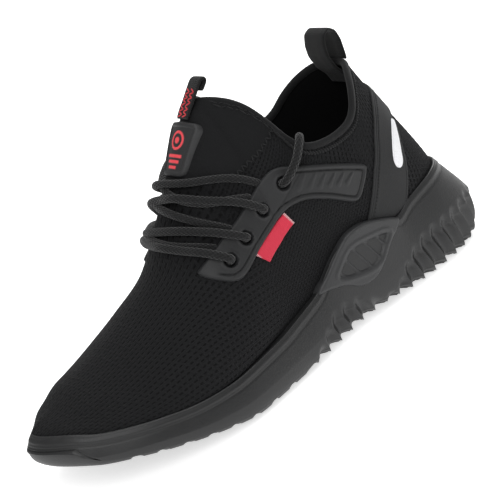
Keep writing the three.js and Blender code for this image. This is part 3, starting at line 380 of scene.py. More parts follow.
def nearest(points, targets):
    """Distance from each point to the nearest target and that target's number."""
    distance, number = np.empty(len(points)), np.empty(len(points), int)
    for part in np.array_split(np.arange(len(points)), len(points) // 2000 + 1):
        gap = sum((points[part][:, None, k] - targets[None, :, k]) ** 2 for k in range(points.shape[1]))
        number[part] = gap.argmin(1)
        distance[part] = np.sqrt(gap.min(1))
    return distance, number


def plate_grid(rings, step):
    """Square cells whose middles lie inside the first outline and outside the others. The corners on the
    rim move onto the nearest outline. Gives the places, the quads and the directed edges of the rim."""
    low, high = rings[0].min(0) - step, rings[0].max(0) + step
    count = np.ceil((high - low) / step).astype(int) + 1
    x, y = [low[k] + step * np.arange(count[k]) for k in (0, 1)]
    middle_x, middle_y = np.meshgrid(x[:-1] + step / 2, y[:-1] + step / 2, indexing="ij")
    keep = inside(rings[0], middle_x, middle_y)
    for hole in rings[1:]:
        keep &= ~inside(hole, middle_x, middle_y)
    number = np.arange(count[0] * count[1]).reshape(count)
    quads = np.stack([number[:-1, :-1], number[1:, :-1], number[1:, 1:], number[:-1, 1:]], -1)[keep]
    used, quads = np.unique(quads, return_inverse=True)
    quads = quads.reshape(-1, 4)
    places = np.stack([g.ravel() for g in np.meshgrid(x, y, indexing="ij")], 1)[used]
    edges = np.concatenate([quads[:, [k, (k + 1) % 4]] for k in range(4)])
    ordered = np.sort(edges, 1)
    keys = ordered[:, 0] * len(places) + ordered[:, 1]
    _, first, times = np.unique(keys, return_index=True, return_counts=True)
    rim = edges[first[times == 1]]
    on_rim = np.unique(rim)
    targets = np.concatenate(rings)
    places[on_rim] = targets[nearest(places[on_rim], targets)[1]]
    return places, quads, rim


def grid_quads(rows, columns, wrap_rows=False, wrap_columns=False):
    """Quads of a grid of points numbered row by row."""
    r = np.arange(rows if wrap_rows else rows - 1)
    c = np.arange(columns if wrap_columns else columns - 1)
    r, c = [g.ravel() for g in np.meshgrid(r, c, indexing="ij")]
    r1, c1 = (r + 1) % rows, (c + 1) % columns
    return np.stack([r * columns + c, r * columns + c1, r1 * columns + c1, r1 * columns + c], 1)


def lower_forefoot(points):
    """The forefoot's last: from the ball on, the lip and the upper sit lower than their tables, the vamp's
    crown a little more and the tread a little less."""
    lowered = np.array(points, float)
    x, z = lowered[..., 0], lowered[..., 2]
    bottom, lip = LIP_HEIGHT * sole_value(1, x), LIP_HEIGHT * sole_value(3, x)
    tread = TOE_TREAD_DROP * smoothstep(x, 0.21 * SOLE_LENGTH, 0.42 * SOLE_LENGTH)
    top = TOE_DROP * smoothstep(x, 0.05 * SOLE_LENGTH, 0.35 * SOLE_LENGTH)
    vamp = smoothstep(x, 0.17 * SOLE_LENGTH, 0.37 * SOLE_LENGTH)
    crown = CROWN_DROP * vamp * smoothstep(z, lip, 1.35 * lip)
    share = np.clip((z - bottom) / (lip - bottom), 0, 1)
    lowered[..., 2] -= tread + (top - tread) * share + crown
    return lowered


def make_mesh(name, points, faces, material, marks=None, uv=None, sharp=55.0):
    """Closed mesh from points in millimetres and one or more arrays of faces. Twin points are merged,
    and the faces are turned outwards by the sign of the volume they enclose."""
    groups = faces if isinstance(faces, list) else [faces]
    places = (lower_forefoot(points) + FRAME_SHIFT) * METRES
    volume = 0.0
    for group in groups:
        a = places[group[:, 0]]
        for k in range(1, group.shape[1] - 1):
            volume += np.einsum("ij,ij->", a, np.cross(places[group[:, k]], places[group[:, k + 1]]))
    if volume < 0:
        groups = [group[:, ::-1] for group in groups]
        uv = None if uv is None else [part[:, ::-1] for part in uv]
    sizes = np.concatenate([np.full(len(group), group.shape[1]) for group in groups])
    loops = np.concatenate([group.ravel() for group in groups])
    mesh = bpy.data.meshes.new(name)
    mesh.vertices.add(len(places))
    mesh.vertices.foreach_set("co", places.ravel())
    mesh.loops.add(len(loops))
    mesh.loops.foreach_set("vertex_index", loops.astype(np.int32))
    mesh.polygons.add(len(sizes))
    mesh.polygons.foreach_set("loop_start", np.concatenate([[0], np.cumsum(sizes)[:-1]]).astype(np.int32))
    mesh.update(calc_edges=True)
    for key, values in (marks or {}).items():
        layer = mesh.attributes.new(key, "FLOAT", "POINT")
        layer.data.foreach_set("value", np.asarray(values, np.float32).ravel())
    if uv is not None:
        layer = mesh.uv_layers.new(name="Thread")
        layer.data.foreach_set("uv", np.concatenate([part.reshape(-1) for part in uv]).astype(np.float32))
    work = bmesh.new()
    work.from_mesh(mesh)
    bmesh.ops.remove_doubles(work, verts=work.verts, dist=2e-6)
    work.to_mesh(mesh)
    work.free()
    mesh.polygons.foreach_set("use_smooth", np.ones(len(mesh.polygons), bool))
    mesh.set_sharp_from_angle(angle=math.radians(sharp))
    mesh.materials.append(material)
    mesh.update()
    piece = bpy.data.objects.new(name, mesh)
    bpy.context.scene.collection.objects.link(piece)
    return piece


def settle(piece, slot, *nodes):
    """Hands a piece to the frame: its body, its finish and the solids it stands for."""
    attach(piece, "root")
    if nodes:
        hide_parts(*nodes)
    return piece


def smooth_path(path, width, spacing, closed=False):
    """A path in even steps, each point the mean of its neighbours weighted by a bell of a given width."""
    path = np.asarray(path, float)
    if closed:
        path = np.concatenate([path, path[:1]])
    way = np.concatenate([[0], np.cumsum(np.linalg.norm(np.diff(path, axis=0), axis=1))])
    count = int(round(way[-1] / spacing)) + 1
    even = np.linspace(0, way[-1], count)
    dense = np.stack([np.interp(even, way, path[:, k]) for k in range(3)], 1)
    if closed:
        dense = dense[:-1]
    reach = int(3 * width / spacing) + 1
    weights = np.exp(-0.5 * (np.arange(-reach, reach + 1) * spacing / width) ** 2)
    weights /= weights.sum()
    if closed:
        padded = np.concatenate([dense[-reach:], dense, dense[:reach]])
    else:
        head = 2 * dense[0] - dense[reach:0:-1]
        tail = 2 * dense[-1] - dense[-2:-reach - 2:-1]
        padded = np.concatenate([head, dense, tail])
    return np.stack([np.convolve(padded[:, k], weights, "valid") for k in range(3)], 1)


def carried_frame(path, closed=False):
    """Two directions across a path at each of its points, carried along it without twist."""
    if closed:
        along = unit(np.roll(path, -1, axis=0) - np.roll(path, 1, axis=0))
    else:
        along = unit(np.gradient(path, axis=0))
    first = np.cross(along[0], (0.0, 0.0, 1.0))
    if np.linalg.norm(first) < 0.2:
        first = np.cross(along[0], (0.0, 1.0, 0.0))
    across = np.empty_like(path)
    across[0] = unit(first)
    for i in range(1, len(path)):
        across[i] = unit(across[i - 1] - along[i] * np.dot(across[i - 1], along[i]))
    return across, np.cross(along, across)


def make_tube(name, path, radius, material, sides=16, closed=False, frame_at=None, flat=1.0, marks=None):
    """Tube round a path: centre + radius (cos(turn) across + flat sin(turn) over). Open ends are closed
    by rings that shrink along a quarter circle. Its UV map holds the share round and the way along, mm."""
    path = np.asarray(path, float)
    across, over = carried_frame(path, closed) if frame_at is None else frame_at
    radius = np.broadcast_to(np.asarray(radius, float), len(path)).copy()
    if not closed:
        turn = np.linspace(0, math.pi / 2, 5)[:-1]
        along = unit(path[1] - path[0]), unit(path[-1] - path[-2])
        r = radius[0], radius[-1]
        head = path[0] - along[0] * r[0] * np.cos(turn)[:, None] * 0.6
        tail = (path[-1] + along[1] * r[1] * np.cos(turn)[:, None] * 0.6)[::-1]
        path = np.concatenate([head, path, tail])
        across = np.concatenate([np.repeat(across[:1], 4, 0), across, np.repeat(across[-1:], 4, 0)])
        over = np.concatenate([np.repeat(over[:1], 4, 0), over, np.repeat(over[-1:], 4, 0)])
        radius = np.concatenate([r[0] * np.sin(turn), radius, (r[1] * np.sin(turn))[::-1]])
    turn = np.arange(sides) / sides * 2 * math.pi
    points = path[:, None] + radius[:, None, None] * (
        np.cos(turn)[None, :, None] * across[:, None] + flat * np.sin(turn)[None, :, None] * over[:, None])
    rows = len(path)
    way = np.concatenate([[0], np.cumsum(np.linalg.norm(np.diff(path, axis=0), axis=1))])
    quads = grid_quads(rows, sides, wrap_rows=closed, wrap_columns=True)
    r = quads[:, 0] // sides
    c = quads[:, 0] % sides
    way = np.append(way, way[-1] + np.linalg.norm(path[-1] - path[0]))
    uv = np.stack([
        np.stack([c / sides, way[r]], 1), np.stack([(c + 1) / sides, way[r]], 1),
        np.stack([(c + 1) / sides, way[r + 1]], 1), np.stack([c / sides, way[r + 1]], 1)], 1)
    return make_mesh(name, points.reshape(-1, 3), quads, material, uv=[uv], marks=marks)


def make_threads(name, starts, ends, normals, radius, material, rise=0.5):
    """Short sewn threads: each a small tube from start to end that swells from its tips as the root of a
    sine and bows out by rise along the normal. All threads make one mesh."""
    t = np.linspace(0, 1, 6)
    swell = np.maximum(np.sin(np.pi * t), 0) ** 0.4
    along = unit(ends - starts)
    over = unit(normals - along * np.einsum("ij,ij->i", normals, along)[:, None])
    across = np.cross(along, over)
    centre = starts[:, None] + (ends - starts)[:, None] * t[:, None] + over[:, None] * (rise * swell)[:, None]
    turn = np.arange(6) / 6 * 2 * math.pi
    ring = np.cos(turn)[:, None] * across[:, None] + np.sin(turn)[:, None] * over[:, None]
    points = centre[:, :, None] + radius * np.maximum(swell, 0.02)[None, :, None, None] * ring[:, None]
    quads = grid_quads(6, 6, wrap_columns=True)
    caps = np.array([np.arange(6)[::-1], np.arange(30, 36)])
    shift = np.arange(len(starts)) * 36
    return make_mesh(
        name, points.reshape(-1, 3),
        [(quads + shift[:, None, None]).reshape(-1, 4), (caps + shift[:, None, None]).reshape(-1, 6)],
        material)


class Board:
    """Places nodes in a tree. Any input may be a number, a colour or another node's socket."""

    def __init__(self, tree):
        self.tree = tree

    def put(self, kind, **settings):
        """Adds a node and sets its properties."""
        node = self.tree.nodes.new(kind)
        for key, value in settings.items():
            setattr(node, key, value)
        return node

    def feed(self, socket, value):
        """Links or sets an input."""
        if isinstance(value, bpy.types.NodeSocket):
            self.tree.links.new(value, socket)
        elif hasattr(value, "__len__") and len(value) == 3 and socket.type == "RGBA":
            socket.default_value = (*value, 1.0)
        else:
            socket.default_value = value

    def math(self, operation, *values, clamp=False):
        """Result of a math node."""
        node = self.put("ShaderNodeMath", operation=operation, use_clamp=clamp)
        for socket, value in zip(node.inputs, values):
            self.feed(socket, value)
        return node.outputs[0]

    def step(self, value, low, high):
        """0 below one value, 1 above the other, and smooth between them."""
        node = self.put("ShaderNodeMapRange", interpolation_type="SMOOTHSTEP")
        for socket, entry in zip(node.inputs, (value, low, high, 0.0, 1.0)):
            self.feed(socket, entry)
        return node.outputs[0]

    def mix(self, factor, first, second):
        """Two colours mixed by a factor."""
        node = self.put("ShaderNodeMix", data_type="RGBA")
        for socket, value in zip((node.inputs[0], node.inputs[6], node.inputs[7]), (factor, first, second)):
            self.feed(socket, value)
        return node.outputs[2]

    def blend(self, factor, first, second):
        """Two values mixed by a factor."""
        node = self.put("ShaderNodeMix", data_type="FLOAT")
        self.feed(node.inputs[0], factor)
        self.feed(node.inputs[2], first)
        self.feed(node.inputs[3], second)
        return node.outputs[0]

    def noise(self, scale, detail=2.0, vector=None):
        """Noise at a scale, in Object coordinates."""
        node = self.put("ShaderNodeTexNoise")
        if vector is None:
            vector = self.put("ShaderNodeTexCoord").outputs["Object"]
        self.feed(node.inputs["Vector"], vector)
        self.feed(node.inputs["Scale"], scale)
        self.feed(node.inputs["Detail"], detail)
        return node.outputs[0]

    def mark(self, name):
        """A value stored on the mesh."""
        return self.put("ShaderNodeAttribute", attribute_name=name).outputs["Fac"]

    def wave(self, value, period):
        """0 to 0.5: the distance from the nearest whole number of periods, as a share of a period."""
        return self.math("PINGPONG", self.math("DIVIDE", value, period), 0.5)

    def group(self, name, **values):
        """Adds a shared effect and gives its outputs by name."""
        node = self.put("ShaderNodeGroup", node_tree=effect_group(name))
        for key, value in values.items():
            self.feed(node.inputs[key.replace("_", " ")], value)
        return node.outputs


def open_group(name, inputs, outputs):
    """New node group with float sockets: its board, inputs and outputs."""
    tree = bpy.data.node_groups.new(name, "ShaderNodeTree")
    for label, default in inputs:
        socket = tree.interface.new_socket(label, in_out="INPUT", socket_type="NodeSocketFloat")
        socket.default_value = default
    for label in outputs:
        tree.interface.new_socket(label, in_out="OUTPUT", socket_type="NodeSocketFloat")
    board = Board(tree)
    return board, board.put("NodeGroupInput").outputs, board.put("NodeGroupOutput").inputs


def knit_group(name):
    """Rows of short gaps between threads: a gap where a place is near the middle of a row and of a dash,
    every other row being shifted by half a dash."""
    board, given, result = open_group(
        name,
        [("Along", 0), ("Across", 0), ("Row pitch", 1.6), ("Dash", 3.0), ("Shift", 0.5), ("Gap share", 0.5)],
        ["Gap", "Thread"])
    rows = board.math("DIVIDE", given["Across"], given["Row pitch"])
    shift = board.math("MULTIPLY", board.math("FLOOR", rows), given["Shift"])
    dashes = board.math("ADD", board.math("DIVIDE", given["Along"], given["Dash"]), shift)
    in_row = board.math("PINGPONG", rows, 0.5)
    in_dash = board.math("PINGPONG", dashes, 0.5)
    edge = board.math("SUBTRACT", 0.5, board.math("MULTIPLY", given["Gap share"], 0.5))
    gap = board.math(
        "MULTIPLY", board.step(in_row, 0.24, 0.46), board.step(in_dash, edge, board.math("ADD", edge, 0.12)))
    board.feed(result["Gap"], gap)
    board.feed(result["Thread"], board.math("SINE", board.math("MULTIPLY", in_row, 2 * math.pi)))
    return board.tree


def braid_group(name):
    """Herringbone of a round braid: strands of two slants, each over the other in turn."""
    board, given, result = open_group(
        name, [("Around", 0), ("Along", 0), ("Strands", 8), ("Pitch", 0.33)], ["Height", "Gap"])
    turn = board.math("MULTIPLY", given["Around"], given["Strands"])
    run = board.math("MULTIPLY", given["Along"], given["Pitch"])
    left = board.math("PINGPONG", board.math("ADD", turn, run), 0.5)
    right = board.math("PINGPONG", board.math("SUBTRACT", turn, run), 0.5)
    high = board.math("MAXIMUM", left, right)
    low = board.math("MINIMUM", left, right)
    height = board.math("ADD", board.math("MULTIPLY", high, 1.5), board.math("MULTIPLY", low, 0.5))
    board.feed(result["Height"], height)
    board.feed(result["Gap"], board.math("SUBTRACT", 1.0, board.step(high, 0.08, 0.3)))
    return board.tree


def grain_group(name):
    """Fine moulded grain with broad, faint shade changes, on Object coordinates."""
    board, given, result = open_group(name, [("Scale", 900), ("Spread", 30)], ["Height", "Cloud"])
    fine = board.noise(given["Scale"], 3.0)
    broad = board.noise(given["Spread"], 2.0)
    board.feed(result["Height"], fine)
    board.feed(result["Cloud"], board.step(broad, 0.35, 0.7))
    return board.tree


def wear_and_highlight_group(name):
    """Rubbed edges: 1 at a marked edge, fading over a width in millimetres and broken up by noise."""
    board, given, result = open_group(name, [("Edge", 5), ("Width", 1.2), ("Scale", 160)], ["Mask"])
    near = board.math("SUBTRACT", 1.0, board.step(given["Edge"], 0.2, given["Width"]))
    broken = board.step(board.noise(given["Scale"], 3.0), 0.3, 0.62)
    board.feed(result["Mask"], board.math("MULTIPLY", near, broken))
    return board.tree


def dust_group(name):
    """Faint dust: sparse soft patches of fine speckle, on Object coordinates."""
    board, given, result = open_group(name, [("Scale", 24), ("Amount", 0.3)], ["Mask"])
    patches = board.step(board.noise(given["Scale"], 3.0), 0.5, 0.75)
    specks = board.step(board.noise(1400.0, 1.0), 0.5, 0.66)
    board.feed(result["Mask"], board.math(
        "MULTIPLY", given["Amount"], board.math("MULTIPLY", patches, specks)))
    return board.tree


EFFECTS = {
    "Knit": knit_group, "Braid": braid_group, "Grain": grain_group, "Wear": wear_and_highlight_group, "Dust": dust_group}


def effect_group(name):
    """The shared node group of an effect, made the first time it is asked for."""
    label = "Shoe " + name.lower()
    return bpy.data.node_groups.get(label) or EFFECTS[name](label)


def make_material(name, build, **sockets):
    """Material from a function that returns colour, roughness, height and bump depth in metres; the
    shader's other sockets are set to plain numbers."""
    if name in bpy.data.materials:
        return bpy.data.materials[name]
    material = bpy.data.materials.new(name)
    material.use_nodes = True
    material.node_tree.nodes.clear()
    board = Board(material.node_tree)
    color, roughness, height, depth = build(board)
    shader = board.put("ShaderNodeBsdfPrincipled")
    board.feed(shader.inputs["Base Color"], color)
    board.feed(shader.inputs["Roughness"], roughness)
    for key, value in sockets.items():
        board.feed(shader.inputs[key.replace("_", " ")], value)
    if height is not None:
        relief = board.put("ShaderNodeBump")
        relief.inputs["Distance"].default_value = depth
        board.feed(relief.inputs["Height"], height)
        board.feed(shader.inputs["Normal"], relief.outputs["Normal"])
    end = board.put("ShaderNodeOutputMaterial")
    board.feed(end.inputs["Surface"], shader.outputs["BSDF"])
    return material


def tone(color, factor):
    """A colour made lighter or darker by a factor."""
    return tuple(min(channel * factor, 1.0) for channel in color[:3])


def settings():
    """The panel's settings."""
    return bpy.context.scene.work_shoe


def knit_material():
    """Three weaves by region: long rows of dashes on the vamp, slanted dashes on the quarter and columns
    of holes by the collar; a plain tongue panel and a lining by their own marks."""
    yarn = tuple(settings().knit_color)

    def build(board):
        along, across, ring, rise = [board.mark(key) for key in ("along", "across", "ring", "rise")]
        vamp, ribs, panel, lining = [board.mark(key) for key in ("vamp", "ribs", "panel", "lining")]
        rows = board.group(
            "Knit", Along=along, Across=across, Row_pitch=2.2, Dash=3.0, Shift=0.5, Gap_share=0.7)
        slant_a = board.math("ADD", ring, rise)
        slant_b = board.math("SUBTRACT", ring, rise)
        twill = board.group(
            "Knit", Along=slant_b, Across=slant_a, Row_pitch=2.5, Dash=3.2, Shift=0.36, Gap_share=0.75)
        leaning = board.math("ADD", ring, board.math("MULTIPLY", rise, 0.42))
        holes = board.group(
            "Knit", Along=rise, Across=leaning, Row_pitch=3.3, Dash=2.8, Shift=0.5, Gap_share=0.7)
        gap = board.blend(ribs, board.blend(vamp, twill["Gap"], rows["Gap"]), holes["Gap"])
        plain = board.math("MAXIMUM", panel, lining)
        gap = board.math("MULTIPLY", gap, board.math("SUBTRACT", 1.0, plain))
        courses = board.math("MULTIPLY", board.step(board.wave(along, 4.7), 0.34, 0.5), vamp)
        fine_rows = board.math("MULTIPLY", board.wave(across, 0.85), 0.5)
        fuzz = board.noise(2600.0, 2.0)
        cloud = board.noise(34.0, 2.0)
        # The gaps take a near-black copy of the yarn: painted shade in the knit's holes.
        color = board.mix(board.math("MULTIPLY", gap, 0.92), tone(yarn, 1.5), tone(yarn, 0.08))
        color = board.mix(board.math("MULTIPLY", courses, 0.22), color, tone(yarn, 2.0))
        color = board.mix(board.math("MULTIPLY", cloud, 0.35), color, tone(yarn, 1.5))
        color = board.mix(panel, color, tone(yarn, 1.25))
        # The lining takes a darker copy of the yarn: painted shade inside the shoe.
        color = board.mix(lining, color, tone(yarn, 0.3))
        dust = board.group("Dust", Scale=18.0, Amount=0.06)["Mask"]
        color = board.mix(dust, color, (0.08, 0.078, 0.075))
        height = board.math("SUBTRACT", board.math("MULTIPLY", fuzz, 0.35), board.math("MULTIPLY", gap, 1.0))
        woven = board.math("SUBTRACT", 1.0, plain)
        height = board.math("ADD", height, board.math("MULTIPLY", fine_rows, woven))
        height = board.math("ADD", height, board.math("MULTIPLY", courses, 0.35))
        rough = board.math("ADD", 0.72, board.math("MULTIPLY", fuzz, 0.2))
        return color, rough, height, 0.0008

    return make_material(
        "Knit cloth", build, Specular_IOR_Level=0.12, Sheen_Weight=0.04, Sheen_Roughness=0.5,
        Sheen_Tint=(0.5, 0.5, 0.52))


def cloth_material(name, color, specular=0.18):
    """Smooth binding tape and thread: fine slanted ribs round the tape, with a little fuzz."""
    def build(board):
        uv = board.put("ShaderNodeSeparateXYZ")
        board.feed(uv.inputs[0], board.put("ShaderNodeTexCoord").outputs["UV"])
        slant = board.math("ADD", uv.outputs[1], board.math("MULTIPLY", uv.outputs[0], 6.0))
        rib = board.wave(slant, 0.9)
        fuzz = board.noise(2300.0, 2.0)
        shade = board.mix(board.math("MULTIPLY", rib, 0.9), tone(color, 0.65), tone(color, 1.35))
        shade = board.mix(board.math("MULTIPLY", fuzz, 0.4), shade, tone(color, 0.6))
        height = board.math("ADD", rib, board.math("MULTIPLY", fuzz, 0.5))
        return shade, board.math("ADD", 0.7, board.math("MULTIPLY", fuzz, 0.2)), height, 0.0002

    return make_material(name, build, Specular_IOR_Level=specular, Sheen_Weight=0.08, Sheen_Roughness=0.5)


def rubber_material(name, color, roughness, specular=0.5):
    """Moulded rubber: fine grain, faint clouds, rubbed edges where a mark gives the distance, dust."""
    def build(board):
        grain = board.group("Grain", Scale=1100.0, Spread=28.0)
        wear_and_highlight = board.group("Wear", Edge=board.mark("edge"), Width=1.1, Scale=140.0)["Mask"]
        dust = board.group("Dust", Scale=20.0, Amount=0.09)["Mask"]
        groove = board.mark("groove")
        shade = board.mix(board.math("MULTIPLY", grain["Cloud"], 0.5), color, tone(color, 1.22))
        # Lighter by the marked edges and crests: worn rubber and a painted highlight.
        shade = board.mix(board.math("MULTIPLY", wear_and_highlight, 0.5), shade, tone(color, 1.9))
        shade = board.mix(dust, shade, (0.12, 0.118, 0.11))
        # Darker where the groove mark lies: painted shade in the grooves and hollows.
        shade = board.mix(groove, shade, tone(color, 0.22))
        rough = board.math("ADD", roughness, board.math("MULTIPLY", grain["Cloud"], 0.08))
        rough = board.math("ADD", rough, board.math("MULTIPLY", grain["Height"], 0.06))
        rough = board.math("ADD", rough, board.math("MULTIPLY", groove, 0.2))
        return shade, rough, grain["Height"], 0.00012

    return make_material(name, build, Specular_IOR_Level=specular)


def lace_material():
    """Round braid: crossing strands round the lace, with dark gaps and a little fuzz."""
    color = tuple(settings().lace_color)

    def build(board):
        uv = board.put("ShaderNodeSeparateXYZ")
        board.feed(uv.inputs[0], board.put("ShaderNodeTexCoord").outputs["UV"])
        braid = board.group("Braid", Around=uv.outputs[0], Along=uv.outputs[1], Strands=8.0, Pitch=0.42)
        fuzz = board.noise(2600.0, 2.0)
        shade = board.mix(board.math("MULTIPLY", braid["Height"], 0.8), tone(color, 0.5), tone(color, 1.5))
        # The gaps between strands take a darker copy of the lace: painted shade.
        shade = board.mix(braid["Gap"], shade, tone(color, 0.2))
        height = board.math("ADD", braid["Height"], board.math("MULTIPLY", fuzz, 0.25))
        return shade, board.math("ADD", 0.68, board.math("MULTIPLY", fuzz, 0.2)), height, 0.0005

    return make_material(
        "Lace braid", build, Specular_IOR_Level=0.25, Sheen_Weight=0.15, Sheen_Roughness=0.45)


def webbing_material(name, color):
    """Woven tape: chevrons of twill by the place across and along the tape in millimetres."""
    def build(board):
        uv = board.put("ShaderNodeSeparateXYZ")
        board.feed(uv.inputs[0], board.put("ShaderNodeTexCoord").outputs["UV"])
        chevron = board.math("ADD", uv.outputs[1], board.math("PINGPONG", uv.outputs[0], 2.4))
        weave = board.wave(chevron, 0.95)
        warp = board.wave(uv.outputs[0], 0.8)
        fuzz = board.noise(2400.0, 2.0)
        shade = board.mix(board.math("MULTIPLY", weave, 1.6), tone(color, 0.45), tone(color, 1.5))
        height = board.math("ADD", weave, board.math("MULTIPLY", warp, 0.6))
        height = board.math("ADD", height, board.math("MULTIPLY", fuzz, 0.2))
        return shade, board.math("ADD", 0.7, board.math("MULTIPLY", fuzz, 0.2)), height, 0.0003

    return make_material(name, build, Specular_IOR_Level=0.2, Sheen_Weight=0.1, Sheen_Roughness=0.5)


def tag_material():
    """Red woven label with pale ends: rows of satin thread across it, the ends by their own mark."""
    color = tuple(settings().tag_color)

    def build(board):
        rows = board.wave(board.mark("tag_along"), 0.55)
        threads = board.wave(board.mark("tag_across"), 0.7)
        weave = board.math("ADD", board.math("MULTIPLY", rows, 1.0), board.math("MULTIPLY", threads, 0.6))
        shade = board.mix(weave, tone(color, 0.72), tone(color, 1.12))
        pale = board.math("MULTIPLY", board.mark("tag_end"), board.step(threads, 0.05, 0.3))
        shade = board.mix(pale, shade, (0.55, 0.45, 0.45))
        return shade, 0.62, weave, 0.0002

    return make_material("Tag weave", build, Specular_IOR_Level=0.3, Sheen_Weight=0.1, Sheen_Roughness=0.4)


def reflector_material():
    """Pale reflective film: small cells with faint seams over a slightly metallic ground."""
    color = tuple(settings().reflector_color)

    def build(board):
        cells = board.put("ShaderNodeTexVoronoi", feature="DISTANCE_TO_EDGE")
        board.feed(cells.inputs["Vector"], board.put("ShaderNodeTexCoord").outputs["Object"])
        cells.inputs["Scale"].default_value = 900.0
        seam = board.step(cells.outputs["Distance"], 0.0, 0.12)
        cloud = board.noise(60.0, 2.0)
        shade = board.mix(seam, tone(color, 0.86), color)
        shade = board.mix(board.math("MULTIPLY", cloud, 0.12), shade, tone(color, 0.8))
        return shade, board.math("ADD", 0.32, board.math("MULTIPLY", cloud, 0.1)), seam, 0.00003

    return make_material("Reflective film", build, Metallic=0.1, Specular_IOR_Level=0.5)


def patch_material():
    """Soft moulded badge: dark ground, red raised marks by their own mask."""
    dark, red = tuple(settings().plate_color), tuple(settings().accent_color)

    def build(board):
        grain = board.group("Grain", Scale=1200.0, Spread=60.0)
        wear_and_highlight = board.group("Wear", Edge=board.mark("edge"), Width=0.9, Scale=200.0)["Mask"]
        accent = board.mark("accent")
        shade = board.mix(board.math("MULTIPLY", grain["Cloud"], 0.5), dark, tone(dark, 1.25))
        # Lighter by the badge's edges: worn rubber and a painted highlight.
        shade = board.mix(board.math("MULTIPLY", wear_and_highlight, 0.4), shade, tone(dark, 1.8))
        tinted = board.mix(board.math("MULTIPLY", grain["Cloud"], 0.5), red, tone(red, 0.85))
        shade = board.mix(accent, shade, tinted)
        rough = board.math("ADD", 0.5, board.math("MULTIPLY", grain["Height"], 0.12))
        return shade, rough, grain["Height"], 0.0001

    return make_material("Badge rubber", build, Specular_IOR_Level=0.4)


def floor_material():
    """White studio floor, which shines a little so that it stays white in the shade."""
    def build(board):
        cloud = board.noise(1.2, 2.0)
        return board.mix(cloud, (0.93, 0.93, 0.93), (0.95, 0.95, 0.95)), 0.7, None, 0.0

    return make_material(
        "Studio floor", build, Specular_IOR_Level=0.1, Emission_Color=(1, 1, 1), Emission_Strength=0.6)


# The upper and what lies on it

def ring_of(at, face):
    """One point per column round the shoe: the outer side from heel to toe, then the inner side back."""
    outer = face(1.0, at)
    inner = face(-1.0, at)[..., -2:0:-1, :]
    return np.concatenate([outer, inner], axis=-2)


def panel_share(x, z):
    """Tongue panel: how far a place lies above the panel's lower edge in the side view, in millimetres."""
    edge_x = np.array([-34, -27, -21.7, -15.3, -7.4, -0.6, 6.2, 15, 22, 26, 28.0])
    edge_z = np.array([142, 118.5, 114.8, 111.2, 107.8, 105.5, 106, 107, 108.5, 112, 142.0])
    slope = np.interp(x, (edge_x[1:] + edge_x[:-1]) / 2, np.diff(edge_z) / np.diff(edge_x))
    return (z - np.interp(x, edge_x, edge_z)) / np.sqrt(1 + slope**2)


def knit_upper():
    """Shell of the knit: rows from the feather line up to the collar, then down the inner face. The
    tongue panel stands 0.8 mm proud, the ribs by the collar are faint waves."""
    at = np.unique(np.concatenate([
        np.linspace(0, TONGUE_TOP, 130), np.linspace(TONGUE_TOP, TOE_POLE, 110),
        np.linspace(TOE_POLE, 1, 50)]))
    up = np.concatenate([np.linspace(0, 0.9, 78), np.linspace(0.9, 1, 16)[1:]])
    way = LATERAL_WAY

    def outer_face(side, columns):
        flat = upper_curve(side, columns[None], up[:, None])
        x, z = flat[..., 0], flat[..., 2]
        height = 0.8 * smoothstep(panel_share(x, z), -0.5, 0.5)
        lean = columns[None] * way + 0.42 * z
        ribs = smoothstep(-x, 60 - 0.9 * np.maximum(z - 70, 0), 66 - 0.9 * np.maximum(z - 70, 0))
        below_top = smoothstep(1 - up[:, None], 0.0, 0.04)
        height = height + 0.22 * ribs * np.cos(2 * np.pi * lean / 3.1) * below_top
        return upper_point(side, columns[None], up[:, None], height)

    up_inside = np.linspace(1, 0, 34)

    def inner_face(side, columns):
        return upper_point(side, columns[None], up_inside[:, None], -KNIT_WALL)

    points = np.concatenate([ring_of(at, outer_face), ring_of(at, inner_face)], axis=0)
    rows, columns = points.shape[:2]
    quads = grid_quads(rows, columns, wrap_rows=True, wrap_columns=True)
    row, column = quads[:, 0] // columns, quads[:, 0] % columns
    half = len(at) - 1
    place = np.where(column < half, column, 2 * half - 1 - column)
    rim = (row == len(up) - 1) & (at[np.minimum(place, half)] >= TONGUE_TOP - 1e-9)
    x, y, z = points[..., 0], points[..., 1], points[..., 2]
    side = np.concatenate([np.ones(half + 1), -np.ones(half - 1)])
    share = np.concatenate([at, at[-2:0:-1]])
    turn = np.arctan2(y + 3.5, np.maximum(z - 16, 4))
    marks = {
        "along": x + 0.12 * y, "across": 44 * turn, "ring": np.broadcast_to(share * way * side, x.shape),
        "rise": z * side[None], "vamp": smoothstep(x, -2, 26),
        "ribs": smoothstep(-x, 60 - 0.9 * np.maximum(z - 70, 0), 66 - 0.9 * np.maximum(z - 70, 0)),
        "panel": smoothstep(panel_share(x, z), -0.3, 0.3),
        "lining": np.broadcast_to((np.arange(rows) >= len(up))[:, None].astype(float), x.shape)}
    piece = make_mesh("knit_upper", points.reshape(-1, 3), quads[~rim], knit_material(), marks=marks)
    return settle(piece, "knit", "upper")


def collar_loop(spacing=1.0):
    """The middle of the collar's rim as a closed path round the opening, with its outward direction."""
    at = np.linspace(0, TONGUE_TOP, 200)
    lateral = upper_point(1.0, at, 1.0, -1.0)
    medial = upper_point(-1.0, at, 1.0, -1.0)[-2:0:-1]
    return smooth_path(np.concatenate([lateral, medial]), 3.0, spacing, closed=True)


def collar_binding():
    """Rolled tape over the rim: an oval tube, a little taller than it is wide."""
    path = collar_loop()
    tape = cloth_material("Binding tape", tone(settings().knit_color, 1.3))
    along = unit(np.roll(path, -1, axis=0) - np.roll(path, 1, axis=0))
    middle = path.mean(0)
    outward = path - middle
    outward = unit(outward - along * np.einsum("ij,ij->i", outward, along)[:, None])
    over = np.cross(along, outward)
    piece = make_tube(
        "collar_binding", path, 1.9, tape, sides=18, closed=True, frame_at=(outward, over), flat=1.15)
    return settle(piece, "knit")


